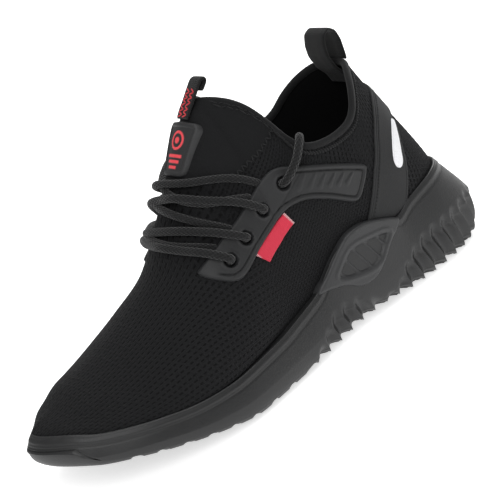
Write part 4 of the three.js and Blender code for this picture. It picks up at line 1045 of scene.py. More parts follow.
def insole():
    """Footbed: its edge follows the inner face of the upper, its top is slightly domed."""
    at = np.linspace(0, 1, 120)
    room = -(KNIT_WALL + CLEARANCE)
    shares = np.linspace(0, 0.5, 200)

    def up_at(side, height):
        z = upper_curve(side, at[None], shares[:, None])[..., 2]
        return np.array([np.interp(z[0, i] + height, z[:, i], shares) for i in range(len(at))])

    def ring(height, offset):
        sides = [upper_point(side, at, up_at(side, height), offset) for side in (1.0, -1.0)]
        return np.concatenate([sides[0], sides[1][-2:0:-1]])

    bottom, edge, top = ring(0.0, room), ring(3.2, room), ring(4.0, room - 0.8)
    half = len(at) - 1
    mate = np.concatenate([np.arange(half + 1), np.arange(half - 1, 0, -1)])
    spine = (top[:half + 1] + top[(2 * half - np.arange(half + 1)) % (2 * half)]) / 2
    spine = spine[mate]
    rings = [bottom, edge, top]
    for share in np.linspace(0.08, 1, 9):
        inner = top + (spine - top) * share
        inner[:, 2] += 1.2 * (1 - (1 - share) ** 2) * smoothstep(np.abs(spine - top).sum(1), 0, 30)
        rings.append(inner)
    low_spine = spine.copy()
    low_spine[:, 2] = bottom[:, 2]
    rings.insert(0, low_spine)
    points = np.concatenate(rings)
    quads = grid_quads(len(rings), len(top), wrap_columns=True)
    piece = make_mesh("insole_footbed", points, quads, cloth_material("Footbed cloth", (0.012, 0.012, 0.013)))
    return settle(piece, "lining", "insole")


def plate_on(name, rings, step, place, relief, low, material, accents=None):
    """Moulded plate: a grid cut to its outlines and laid on a surface. place gives a surface point and
    its outward direction for places of the grid, relief the height there from the distance to the
    nearest edge. The underside lies at low, and a wall joins the two."""
    flat, quads, rim = plate_grid(rings, step)
    base, normal = place(flat)
    edges = [place(ring[::2])[0] for ring in rings]
    distance = nearest(base, np.concatenate(edges))[0]
    distance[np.unique(rim)] = 0
    height = relief(flat, base, distance)
    # A relief may also give a groove mark, which the rubber takes as painted shade in its hollows.
    groove = 0 * distance
    if isinstance(height, tuple):
        height, groove = height
    count = len(flat)
    points = np.concatenate([base + normal * height[:, None], base + normal * low])
    wall = np.stack([rim[:, 1], rim[:, 0], rim[:, 0] + count, rim[:, 1] + count], 1)
    # The edge mark feeds worn rims with a painted highlight; the groove mark feeds painted shade.
    marks = {
        "edge": np.concatenate([distance, distance * 0 + 5]),
        "groove": np.concatenate([groove, groove * 0])}
    for key, values in (accents(flat, distance) if accents else {}).items():
        marks[key] = np.concatenate([values, values * 0])
    faces = np.concatenate([quads, quads[:, ::-1] + count, wall])
    return make_mesh(name, points, faces, material, marks=marks)


def side_place(side):
    """Surface point and direction of the upper for places of the side view in millimetres."""
    def place(flat):
        at, up = locate(side, flat[:, 0], flat[:, 1])
        return upper_curve(float(side), at, up), upper_normal(float(side), at, up)
    return place


def to_segments(flat, starts, ends):
    """Distance from each place to the nearest of some straight pieces, and the share along it."""
    best, share = np.full(len(flat), 1e9), np.zeros(len(flat))
    for a, b in zip(starts, ends):
        t = np.clip(((flat - a) @ (b - a)) / ((b - a) @ (b - a)), 0, 1)
        gap = np.linalg.norm(flat - a - t[:, None] * (b - a), axis=1)
        closer = gap < best
        best, share = np.where(closer, gap, best), np.where(closer, t, share)
    return best, share


def eyestay(side, node):
    """Moulded guard with its wing: a rounded raised border with a groove inside it, a fold between strip
    and wing, six slanted ticks and a round lip about each eyelet."""
    centres = (EYELETS - (0.5, 0)) * (SOLE_LENGTH, TONGUE_HEIGHT)
    at, up = locate(side, centres[:, 0], centres[:, 1])
    middle = upper_curve(float(side), at, up)
    normal = upper_normal(float(side), at, up)
    first = unit(np.cross(normal, (0.0, 1.0, 0.0)))
    second = np.cross(normal, first)
    turn = np.linspace(0, 2 * math.pi, 160, endpoint=False)[:, None]
    holes = [
        (m + EYELET_RADIUS * (np.cos(turn) * a + np.sin(turn) * b))[:, [0, 2]]
        for m, a, b in zip(middle, first, second)]
    outline = side_ring(EYESTAY, TONGUE_HEIGHT)
    scale = np.array([SOLE_LENGTH, TONGUE_HEIGHT])
    share = np.linspace(0, 1, 6)[:, None]
    tick_foot = ((0.419, 0.610) + share * (-0.091, -0.074) - (0.5, 0)) * scale
    tick_top = ((0.4025, 0.642) + share * (-0.0905, -0.086) - (0.5, 0)) * scale
    fold = (np.array([(0.398, 0.668), (0.468, 0.575)]) - (0.5, 0)) * scale

    def relief(flat, base, distance):
        x, z = flat[:, 0] / scale[0] + 0.5, flat[:, 1] / scale[1]
        to_eye = nearest(base, middle)[0]
        outer = side_distance(flat, outline)
        height = 0.35 + GUARD_THICKNESS * 0.8 * np.sqrt(1 - (1 - np.clip(distance / 1.1, 0, 1)) ** 2)
        low_side = smoothstep(0.505 + 1.05 * (0.6 - x) - z, 0.0, 0.02)
        bordered = np.maximum(low_side, smoothstep(0.40 - x, -0.005, 0.01))
        groove = bump(outer, 3.1, 1.3) * bordered
        border = bump(outer, 1.5, 3.0) * bordered
        crease = bump(to_segments(flat, fold[:1], fold[1:])[0], 0.0, 1.4)
        tick, along_tick = to_segments(flat, tick_foot, tick_top)
        ticks = smoothstep(1.35 * (1 - 0.55 * along_tick) - tick, -0.25, 0.35)
        lip = bump(to_eye, EYELET_RADIUS + 1.0, 2.2)
        field = smoothstep(outer, 3.4, 4.4) * bordered
        height += 0.45 * border - 0.75 * groove - 0.25 * crease + 0.4 * ticks + 0.5 * lip - 0.15 * field
        # The second value darkens the groove and the fold as painted shade.
        return np.maximum(height, 0.3), np.clip(groove * 0.85 + crease * 0.35, 0, 1)

    plate = rubber_material("Guard plate", tuple(settings().plate_color), 0.5, 0.32)
    piece = plate_on(f"{node}_guard", [outline, *holes], 0.55, side_place(side), relief, -0.4, plate)
    return settle(piece, "trim", node)


def side_distance(flat, outline):
    """Distance from each place to an outline."""
    return nearest(flat, outline[::2])[0]


def heel_points(rows):
    """Rows of the heel band's table as shares along and up the upper."""
    at, up = locate(1, (rows[:, 0] - 0.5) * SOLE_LENGTH, rows[:, 1] * TONGUE_HEIGHT)
    return np.stack([at, up], 1)


def heel_share(height):
    """Share up the heel's middle section at a height."""
    up = np.linspace(0, 1, 400)
    return np.interp(height, upper_curve(1.0, np.zeros(400), up)[:, 2], up)


HEEL_SCALE = np.array([340.0, 110.0])


def heel_edges():
    """Front edge of the heel band and the upper edge of its opening, as (at, up) from foot to heel."""
    front = np.concatenate([heel_points(HEEL_BAND[:8]), [[0.0, heel_share(0.747 * TONGUE_HEIGHT)]]])
    under = np.concatenate([[[0.0, heel_share(0.632 * TONGUE_HEIGHT)]], heel_points(HEEL_BAND[12:])])
    return front, under


def heel_band():
    """Smooth band from the sole over both sides and round the heel, laid out by the signed share round
    the shoe: a rounded edge and a shallow groove behind it."""
    front, under = heel_edges()
    flip = np.array([-1, 1])
    outline = np.concatenate([front, front[-2::-1] * flip, under[:0:-1] * flip, under])
    ring = rounded(outline, *HEEL_SCALE, spacing=0.3)

    def place(flat):
        side = np.where(flat[:, 0] >= 0, 1.0, -1.0)
        at, up = np.abs(flat[:, 0]) / HEEL_SCALE[0], np.clip(flat[:, 1] / HEEL_SCALE[1], 0.001, 1)
        return upper_curve(side, at, up), upper_normal(side, at, up)

    def relief(flat, base, distance):
        height = 0.3 + 1.15 * np.sqrt(1 - (1 - np.clip(distance / 1.0, 0, 1)) ** 2)
        groove = bump(distance, 2.2, 0.9)
        # The second value darkens the groove behind the edge as painted shade.
        return height - 0.3 * groove + 0.12 * smoothstep(distance, 3, 12), 0.5 * groove

    band = rubber_material("Heel band skin", tone(settings().plate_color, 0.8), 0.58, 0.25)
    piece = plate_on("heel_band_shell", [ring], 0.75, place, relief, -0.4, band)
    return settle(piece, "trim", "heel_band")


def reflector(side, node):
    """Teardrop of film with a rounded edge on the heel band."""
    def relief(flat, base, distance):
        return 1.75 + 0.55 * np.sqrt(1 - (1 - np.clip(distance / 0.7, 0, 1)) ** 2)

    piece = plate_on(
        f"{node}_film", [side_ring(REFLECTOR, TONGUE_HEIGHT)], 0.45, side_place(side), relief, 1.2,
        reflector_material())
    return settle(piece, "reflector", node)


def side_tag():
    """Woven label: flat cloth, its two short ends turned and paler."""
    corners = (TAG - (0.5, 0)) * (SOLE_LENGTH, TONGUE_HEIGHT)
    ring = np.concatenate([
        corners[k] + (corners[(k + 1) % 4] - corners[k]) * np.linspace(0, 1, 120)[:-1, None]
        for k in range(4)])
    along = unit(corners[1] - corners[0])
    length = np.linalg.norm(corners[1] - corners[0])

    def relief(flat, base, distance):
        run = (flat - corners[0]) @ along
        ends = np.minimum(run, length - run)
        soft = 0.12 * np.sin(run * 0.5) + 0.15 * smoothstep(ends, 1.6, 0.2)
        return 0.75 + 0.35 * smoothstep(distance, 0, 0.5) + soft

    def accents(flat, distance):
        run = (flat - corners[0]) @ along
        across = (flat - corners[0]) @ (-along[1], along[0])
        ends = np.minimum(run, length - run)
        return {"tag_along": run, "tag_across": across + 40, "tag_end": smoothstep(-ends, -1.3, -0.9)}

    piece = plate_on("side_tag_label", [ring], 0.45, side_place(1), relief, 0.05, tag_material(), accents)
    return settle(piece, "tag", "side_tag")


def tongue_patch():
    """Badge on the tongue in its own plane: a rounded shield bent to the ridge, with a raised rim, a ring
    and three bars as plain ornament."""
    out = upper_normal(1.0, np.array([PATCH_AT]), 1.0)[0]
    across = np.array([0.0, 1.0, 0.0])
    upward = np.cross(out, across)
    upward = upward * np.sign(upward[2])
    centre = upper_curve(1.0, PATCH_AT, 1.0)
    ridge = upper_curve(1.0, np.linspace(0.478, 0.6, 60), 1.0) - centre
    order = np.argsort(ridge @ upward)
    ridge_q, ridge_w = (ridge @ upward)[order], (ridge @ out)[order]
    flank = upper_curve(1.0, PATCH_AT, np.linspace(1.0, 0.55, 60)) - centre
    flank_p, flank_w = flank @ across, flank @ out - np.interp(flank @ upward, ridge_q, ridge_w)

    def place(flat):
        drop = np.interp(np.abs(flat[:, 0]), flank_p, flank_w) * 0.8
        drop = drop + np.interp(flat[:, 1], ridge_q, ridge_w)
        base = centre + flat[:, :1] * across + flat[:, 1:] * upward + drop[:, None] * out
        return base, np.broadcast_to(out, base.shape)

    shield = np.array([
        (-6.6, -14), (0, -14.1), (6.6, -14), (8.7, -12.6), (9.6, -9.4), (10.5, -2), (11.7, 7.5), (11.9, 11.2),
        (10.2, 13.6), (7, 14), (0, 14.1), (-7, 14), (-10.2, 13.6), (-11.9, 11.2), (-11.7, 7.5), (-10.5, -2),
        (-9.6, -9.4), (-8.7, -12.6)])
    ring = rounded(shield, 1.0, 1.0, spacing=0.2)

    def ornament(flat):
        disc = bump(np.hypot(flat[:, 0], flat[:, 1] - 4.4), 4.3, 2.6)
        dot = smoothstep(-np.hypot(flat[:, 0], flat[:, 1] - 4.4), -1.9, -1.5)
        bars = sum(
            smoothstep(0.75 - np.abs(flat[:, 1] + drop), -0.2, 0.15)
            * smoothstep(half - np.abs(flat[:, 0]), -0.2, 0.2)
            for drop, half in ((3.6, 5.4), (6.5, 4.2), (9.4, 3.0)))
        return np.clip(np.maximum(smoothstep(disc, 0.3, 0.7) + dot, bars), 0, 1)

    def relief(flat, base, distance):
        height = 1.0 + 1.3 * np.sqrt(1 - (1 - np.clip(distance / 0.9, 0, 1)) ** 2)
        rim = bump(distance, 1.5, 2.6)
        return height + 0.35 * rim - 0.35 * smoothstep(distance, 2.4, 3.0) + 0.35 * ornament(flat)

    def accents(flat, distance):
        return {"accent": ornament(flat)}

    piece = plate_on("tongue_patch_badge", [ring], 0.3, place, relief, -0.8, patch_material(), accents)
    return settle(piece, "badge", "tongue_patch")


def make_ribbon(name, path, middle, width, thickness, material):
    """Webbing: a section with rounded edges carried along a path in the plane y = middle. Its UV map
    holds the place across and along the tape in millimetres."""
    path = smooth_path(path, 0.9, 0.7)
    along = unit(np.gradient(path, axis=0))
    over = np.stack([-along[:, 2], np.zeros(len(path)), along[:, 0]], 1)
    turn = np.linspace(0, 2 * math.pi, 29)[:-1]
    power = 0.28
    across = np.sign(np.cos(turn)) * np.abs(np.cos(turn)) ** power * width / 2
    lift = np.sign(np.sin(turn)) * np.abs(np.sin(turn)) ** 0.8 * thickness / 2
    taper = np.ones(len(path))
    taper[[0, -1]] = 0.02
    taper[[1, -2]] = 0.75
    points = path[:, None] + lift[None, :, None] * taper[:, None, None] * over[:, None]
    points[..., 1] = middle + across[None] * (0.94 + 0.06 * taper[:, None])
    count = len(turn)
    quads = grid_quads(len(path), count, wrap_columns=True)
    caps = np.array([np.arange(count)[::-1], np.arange(count) + (len(path) - 1) * count])
    way = np.concatenate([[0], np.cumsum(np.linalg.norm(np.diff(path, axis=0), axis=1))])
    uv = np.stack([across[quads % count] + width, way[quads // count]], -1)
    cap_uv = np.stack([across[caps % count] + width, way[caps // count]], -1)
    piece = make_mesh(name, points.reshape(-1, 3), [quads, caps], material, uv=[uv, cap_uv], sharp=70)
    return piece, path, over


def heel_pull_loop():
    """Loop of tape from the collar at the heel, over in a bow and down inside."""
    inside_at = -(KNIT_WALL + 3.3 + 0.8)
    top = upper_point(1.0, 0.0, 1.0, 0.0)
    bow = [(1, 1.3), (1, 7), (1.2, 13), (2.8, 18.4), (6.6, 21.2), (10.6, 19.2),
           (12.3, 13.5), (12.2, 7.5), (9.2, 0)]
    path = [(top[0] + x, 0, top[2] + z) for x, z in bow]
    path += [upper_point(1.0, 0.0, 0.95, inside_at), upper_point(1.0, 0.0, 0.88, inside_at)]
    tape = webbing_material("Loop tape", tuple(settings().webbing_color))
    piece = make_ribbon("heel_pull_loop_tape", path, 0.0, 17.0, 1.7, tape)[0]
    return settle(piece, "webbing", "heel_pull_loop")


def tongue_pull_tab():
    """Tab on the tongue: tape up the ridge from above the badge, folded back over the edge, with a red
    zigzag sewn down it."""
    top = upper_point(1.0, TONGUE_TOP, 1.0, 0.0)
    outside = CLEARANCE + 0.8 + 0.9
    ridge = [upper_point(1.0, at, 1.0, outside) for at in (0.4965, 0.488, 0.480)]
    fold = [(-2.2, 5.6), (-6.2, 9.4), (-8.9, 9.9), (-9.3, 8.0), (-7.2, 6.0), (-5, 4.0)]
    path = ridge + [(top[0] + x, top[1], top[2] + z) for x, z in fold]
    path = [(x, top[1], z) for x, _, z in path]
    tape = webbing_material("Loop tape", tuple(settings().webbing_color))
    piece, line, over = make_ribbon("tongue_pull_tab_tape", path, top[1], 10.0, 1.6, tape)
    settle(piece, "webbing", "tongue_pull_tab")
    span = len(line) // 2
    count = 10
    spots = np.linspace(1, span, count + 1).astype(int)
    swing = np.where(np.arange(count + 1) % 2, 1.6, -1.6)
    knots = line[spots] - over[spots] * 0.85 + swing[:, None] * (0, 1, 0)
    both = [knots + (0, shift, 0) for shift in (-1.9, 1.9)]
    starts = np.concatenate([k[:-1] for k in both])
    ends = np.concatenate([k[1:] for k in both])
    normals = np.concatenate([-over[spots[:-1]]] * 2)
    thread = cloth_material("Red thread", tuple(settings().accent_color), 0.3)
    return settle(make_threads("tongue_tab_stitches", starts, ends, normals, 0.42, thread, 0.12), "webbing")


def stitches():
    """Sewn rows: slanted threads under the collar's binding, zigzags along the tongue panel's rim and its
    lower edge, and fine runs along the heel band and its front piping."""
    thread = cloth_material("Dark thread", tone(settings().knit_color, 1.9), 0.25)
    starts, ends, normals = [], [], []
    panel_starts, panel_ends, panel_normals = [], [], []
    for side in (1.0, -1.0):
        at = np.arange(0.10, 0.405, 2.0 / LATERAL_WAY)
        height = np.linalg.norm(upper_curve(side, at, 1.0) - upper_curve(side, at, 0.9), axis=1) / 0.1
        near, far, lean = 4.6, 2.5, 0.9
        starts.append(upper_point(side, at - lean / LATERAL_WAY, 1 - near / height, 0.25))
        ends.append(upper_point(side, at + lean / LATERAL_WAY, 1 - far / height, 0.35))
        normals.append(upper_normal(side, at, 1 - near / height))
        at = np.arange(0.405, TONGUE_TOP - 0.006, 1.9 / LATERAL_WAY)
        height = np.linalg.norm(upper_curve(side, at, 1.0) - upper_curve(side, at, 0.94), axis=1) / 0.06
        for near, far in ((2.6, 4.4), (5.2, 7.0)):
            low = np.where(np.arange(len(at)) % 2, near, far)
            knots = upper_point(side, at, 1 - low / height, 0.85)
            panel_starts.append(knots[:-1])
            panel_ends.append(knots[1:])
            panel_normals.append(upper_normal(side, at, 1 - low / height)[:-1])
        edge_x = np.linspace(-26, 8, 22)
        edge_z = np.interp(
            edge_x, [-27, -21.7, -15.3, -7.4, -0.6, 6.2, 15], [118.5, 114.8, 111.2, 107.8, 105.5, 106, 107])
        zig = np.where(np.arange(22) % 2, 1.7, -0.9)
        at, up = locate(int(side), edge_x + zig * 0.3, edge_z + zig)
        knots = upper_point(side, at, up, 0.75)
        panel_starts.append(knots[:-1])
        panel_ends.append(knots[1:])
        panel_normals.append(upper_normal(side, at, up)[:-1])
    settle(make_threads(
        "collar_stitches", np.concatenate(starts), np.concatenate(ends), np.concatenate(normals),
        0.62, thread, 0.2), "knit")
    settle(make_threads(
        "tongue_panel_stitches", np.concatenate(panel_starts), np.concatenate(panel_ends),
        np.concatenate(panel_normals), 0.36, thread, 0.12), "knit")
    front = heel_edges()[0]
    share = np.linspace(0, 1, 300)
    steps = np.concatenate([[0], np.cumsum(np.linalg.norm(np.diff(front * HEEL_SCALE, axis=0), axis=1))])
    line = np.stack([follow(steps, front[:, k], share * steps[-1]) for k in (0, 1)], 1)
    pale = cloth_material("Piping", tone(settings().plate_color, 1.5), 0.3)
    piping_path = np.concatenate([
        upper_point(1.0, line[:, 0], line[:, 1], 0.75),
        upper_point(-1.0, line[::-1, 0], line[::-1, 1], 0.75)[1:]])
    settle(make_tube("heel_band_piping", smooth_path(piping_path, 1.0, 1.2), 0.55, pale, sides=10), "trim")
    inward = unit(np.gradient(line * HEEL_SCALE, axis=0))[:, ::-1] * (-1, 1)
    seam = line + inward * 3.2 / HEEL_SCALE
    seam = seam[seam[:, 0] > 0.012]
    sewn = [[], [], []]
    for side in (1.0, -1.0):
        path = smooth_path(upper_point(side, seam[:, 0], seam[:, 1], 1.45), 1.0, 0.95)
        even, knots = np.linspace(0, 1, len(path)), np.linspace(0, 1, len(seam))
        at, up = [np.interp(even, knots, seam[:, k]) for k in (0, 1)]
        sewn[0].append(path[:-1:2])
        sewn[1].append(path[1::2][:len(path[:-1:2])])
        sewn[2].append(upper_normal(side, at, up)[:-1:2])
    rows = [np.concatenate(part) for part in sewn]
    return settle(make_threads("heel_band_stitches", *rows, 0.24, thread, 0.08), "trim")


# The sole

def sole_value(column, x):
    """A column of the sole's table at a place along the shoe."""
    return follow(SOLE[:, 0], SOLE[:, column], np.clip(x / SOLE_LENGTH + 0.5, 0, 1))


def sole_level(x, level):
    """Height of a level of the sole's side: 0 the tread's edge, 1 the split, 2 the belly, 3 the lip, with
    straight lines between them."""
    bottom = np.maximum(LIP_HEIGHT * sole_value(1, x), 0)
    split = LIP_HEIGHT * sole_value(4, x)
    belly = np.maximum(LIP_HEIGHT * sole_value(2, x), split + 4 * CLEARANCE)
    lip = LIP_HEIGHT * sole_value(3, x)
    first = bottom + (split - bottom) * level
    second = split + (belly - split) * (level - 1)
    return np.where(level <= 1, first, np.where(level <= 2, second, belly + (lip - belly) * (level - 2)))


def sole_inset(x, z):
    """How far the side lies inside the plan outline: the cube of the way below the belly, and its power
    1.15 above it."""
    bottom, belly, lip = [sole_level(x, level) for level in (0.0, 2.0, 3.0)]
    below = np.clip((belly - z) / (belly - bottom), 0, 1) ** 3 * sole_value(7, x)
    above = np.clip((z - belly) / (lip - belly), 0, 1.05) ** 1.15 * sole_value(6, x)
    return BALL_WIDTH * np.where(z < belly, below, above)


def rib_share(at):
    """0 on the crest between two scoops, 1 in the middle of a scoop."""
    return np.abs(np.sin(np.pi * at * LATERAL_WAY / RIB_PITCH))


def sole_face(side, at, level, ribbed=True):
    """Side of the sole: the plan outline drawn in by the inset and by the scoops, which lean and end in
    round arches. Gives the points, their outward directions and the depth of the scoops."""
    straight = outline_at(side, at)[0]
    lean_end = smoothstep(at, RIB_END - LEAN_START, RIB_END + LEAN_START)
    lean = RIB_LEAN * smoothstep(at, 0, LEAN_START) * (1 - lean_end)
    x = straight[..., 0]
    height = np.minimum(sole_level(x, level), sole_level(x, 2.0))
    way = np.where(np.asarray(side) > 0, LATERAL_WAY, OUTLINES[-1][2][-1])
    leaning = np.where((at <= 0) | (at >= 1), at, at + lean * (height - LIP_HEIGHT / 4) / way)
    spot, outward = outline_at(side, leaning)
    spot, outward = [np.broadcast_to(v, height.shape + (2,)) for v in (spot, outward)]
    x = spot[..., 0]
    z = sole_level(x, level)
    share = rib_share(at)
    top = LIP_HEIGHT * sole_value(5, x) - 3.0 * (1 - share)
    fade = smoothstep(top - z, 0.0, 1.6 * RIB_FADE)
    scoop = RIB_DEPTH * 1.12 * share * fade * (1.0 if ribbed else 0.0)
    reach = -sole_inset(x, z) - scoop
    points = np.concatenate([spot + outward * reach[..., None], z[..., None]], -1)
    return points, outward, scoop


def sole_columns():
    """Shares along the outline of the sole's columns, and where the ribs and the lugs end."""
    ribs = int(round(RIB_END * LATERAL_WAY / RIB_PITCH))
    rib_end = ribs * RIB_PITCH / LATERAL_WAY
    lugs = int((LUG_END - rib_end) * LATERAL_WAY / LUG_PITCH)
    lug_end = rib_end + lugs * LUG_PITCH / LATERAL_WAY
    at = np.concatenate([
        np.linspace(0, rib_end, ribs * 12, endpoint=False),
        np.linspace(rib_end, lug_end, lugs * 14, endpoint=False), np.linspace(lug_end, 1, 72)])
    return at, rib_end, lug_end


def bumper_share(x, z):
    """How far a place of the toe lies inside the bumper's panel, in millimetres."""
    rear = np.interp(z, [14, 18, 21, 25, 29, 33], [104, 116, 125, 131, 134.5, 137])
    return np.minimum((x - rear) * 0.75, sole_level(x, 3.0) - 6 - z)


def upper_meets(side, at, height):
    """Point of the upper's face at a height in each of its lower sections."""
    up = np.linspace(0, 0.5, 120)
    z = upper_curve(side, at[None], up[:, None])[..., 2]
    share = np.array([np.interp(h, z[:, i], up) for i, h in enumerate(height)])
    return upper_point(side, at, share, -0.7)


def midsole():
    """Cup of the sole: its side from the split to the lip, a bead along the lip, the flat rim up to the
    knit, and down behind the knit to the feather line. The toe carries the bumper's panel."""
    at = sole_columns()[0]
    levels = np.concatenate([np.linspace(1, 2, 26), np.linspace(2, 3, 34)[1:]])[:, None]

    def outer(side, columns):
        points, outward, _ = sole_face(side, columns[None], levels)
        x, z = points[..., 0], points[..., 2]
        lip = sole_level(x, 3.0)
        share = bumper_share(x, z)
        swell = 0.35 * bump(z, lip - 1.4, 3.4) - 0.2 * bump(z, lip - 4.2, 1.8)
        swell = swell + 0.4 * smoothstep(share, 0.0, 0.7) - 0.6 * bump(share, -0.5, 1.2)
        points = points.copy()
        points[..., :2] += outward * swell[..., None]
        points[0, ..., 2] -= 0.25
        return points

    def rim(side, columns):
        face, outward, _ = sole_face(side, columns[None], np.array([[3.0]]))
        lip = face[0] + np.concatenate([outward[0] * 0, np.zeros_like(face[0][..., :1])], -1)
        meet = upper_meets(side, columns, face[0][..., 2])
        foot = upper_point(side, columns, 0.0, -0.7)
        rows = []
        for inward, rise in ((0.15, 0.45), (0.5, 0.75), (1.0, 0.85), (1.6, 0.6), (2.1, 0.15)):
            row = lip.copy()
            row[..., :2] -= outward[0] * inward
            row[..., 2] += rise
            rows.append(row)
        last = rows[-1]
        rows.append(last + (meet - last) * 0.5)
        rows.append(meet)
        rows.append((meet + foot) / 2)
        rows.append(foot)
        low = foot.copy()
        low[..., 2] -= 0.3
        rows.append(low - np.concatenate([outward[0] * 2.5, np.zeros_like(low[..., :1])], -1))
        return np.stack(rows)

    points = np.concatenate([ring_of(at, outer), ring_of(at, rim)], axis=0)
    rows, columns = points.shape[:2]
    quads = grid_quads(rows, columns, wrap_rows=True, wrap_columns=True)
    x, z = points[..., 0], points[..., 2]
    share = bumper_share(x, z)
    side_rows = (np.arange(rows) < len(levels))[:, None]
    # The groove mark darkens the rubber along the bumper's edge and under the lip's bead: painted shade in
    # these dents.
    lines = bump(share, -0.5, 1.1) * 0.8 + 0.35 * bump(z, sole_level(x, 3.0) - 4.3, 1.4)
    groove = np.where(side_rows, lines, 0)
    # The edge mark lightens the rib crests, the lip and the rim: worn rubber and a painted highlight.
    crest = 1 - np.concatenate([rib_share(at), rib_share(at)[-2:0:-1]])
    ribbed = (z < LIP_HEIGHT * sole_value(5, x) - 1) & side_rows
    edge = np.where(ribbed & (crest[None] > 0.75), (1 - crest[None]) * 3.5, 5.0)
    edge = np.minimum(edge, np.where(side_rows, np.abs(z - sole_level(x, 3.0)) + 0.3, 0.6))
    foam = rubber_material("Cup rubber", tuple(settings().rubber_color), 0.36, 0.4)
    piece = make_mesh(
        "midsole_cup", points.reshape(-1, 3), quads, foam,
        marks={"groove": np.clip(groove, 0, 1), "edge": edge}, sharp=48)
    return settle(piece, "midsole", "midsole")


def tread_groove(x, y):
    """Depth of the tread: chevrons every 13 mm and two long channels, 0 on a lug and 1 in a groove."""
    phase = (x + 0.5 * np.abs(y)) / LUG_PITCH
    share = phase - np.floor(phase)
    cross = smoothstep(share, 0.62, 0.70) * (1 - smoothstep(share, 0.92, 1.0))
    channel = 1 - smoothstep(np.abs(np.abs(y) - 17), 1.0, 1.8)
    return np.maximum(cross, channel)


def outsole():
    """Tread: its scooped side under the split, teeth along its edge, and lugs on its underside."""
    at, rib_end, lug_end = sole_columns()
    levels = np.linspace(1, 0, 10)[:, None]
    way = at * LATERAL_WAY
    start = rib_end * LATERAL_WAY
    phase = (way - start) / LUG_PITCH
    share = phase - np.floor(phase + 1e-9)
    lug = smoothstep(share, 0.52, 0.62) * (1 - smoothstep(share, 0.86, 0.99))
    lug = lug * ((at > rib_end) & (at < lug_end))
    rise = EDGE_LIFT + np.where(at < rib_end, TOOTH_RISE * rib_share(at), GROOVE_DEPTH * lug)

    def outer(side, columns):
        points, outward, _ = sole_face(side, columns[None], levels)
        points = points.copy()
        points[..., 2] += rise[None] * (1 - levels) ** 2
        points[0, ..., 2] -= 0.15
        notch = 1.6 * lug[None] * (1 - levels) ** 1.5
        points[..., :2] -= outward * notch[..., None]
        return points

    edges = [outer(side, at)[-1] for side in (1.0, -1.0)]
    spine = (edges[0] + edges[1]) / 2
    limit = SOLE_LENGTH / 2 - 30
    spine[:, 0] = np.clip(spine[:, 0], -limit, limit)
    spine[:, 1] = np.interp(spine[:, 0], spine[:, 0][10:-10], spine[:, 1][10:-10])
    spread = np.concatenate([[0.02, 0.05, 0.09], np.linspace(0.13, 1, 34)])[:, None]

    def under(side, columns):
        edge = edges[0] if side > 0 else edges[1]
        flat = edge[None] + (spine[None] - edge[None]) * spread[..., None]
        x, y = flat[..., 0], flat[..., 1]
        bottom = np.maximum(LIP_HEIGHT * sole_value(1, x), 0)
        inner = smoothstep(np.linalg.norm((flat - edge[None])[..., :2], axis=-1), 0.5, 4.0)
        groove = GROOVE_DEPTH * tread_groove(x, y) * smoothstep(inner, 0.6, 1.0)
        flat[..., 2] = bottom + (edge[None][..., 2] - bottom) * (1 - inner) + groove
        return flat

    top = [np.array(sole_face(side, at[None], np.array([[1.0]]))[0][0]) for side in (1.0, -1.0)]

    def lid(side, columns):
        edge = top[0] if side > 0 else top[1]
        middle = (top[0] + top[1]) / 2
        shares = np.linspace(1, 0.1, 6)[:, None, None]
        flat = edge[None] + (middle[None] - edge[None]) * shares
        flat[..., 2] -= 0.3
        return flat

    points = np.concatenate([ring_of(at, lid), ring_of(at, outer), ring_of(at, under)], axis=0)
    rows, columns = points.shape[:2]
    quads = grid_quads(rows, columns, wrap_columns=True)
    x, y, z = points[..., 0], points[..., 1], points[..., 2]
    # The groove mark darkens the tread's grooves: painted shade in them.
    groove = 0.55 * tread_groove(x, y) * (np.arange(rows) >= 16)[:, None]
    # The edge mark lightens the teeth's crests and the bottom edge: worn rubber and a painted highlight.
    crest = 1 - np.concatenate([rib_share(at), rib_share(at)[-2:0:-1]])
    share_at = np.concatenate([at, at[-2:0:-1]])
    edge = np.where((crest > 0.75) & (share_at < rib_end), (1 - crest) * 3.5, 5.0)
    edge = np.minimum(np.broadcast_to(edge, x.shape), np.where(z < 3.5, 0.9, 5.0))
    tread = rubber_material("Tread rubber", tone(settings().rubber_color, 0.9), 0.42, 0.5)
    piece = make_mesh(
        "outsole_tread", points.reshape(-1, 3), quads, tread,
        marks={"groove": groove, "edge": edge}, sharp=45)
    return settle(piece, "outsole", "outsole")


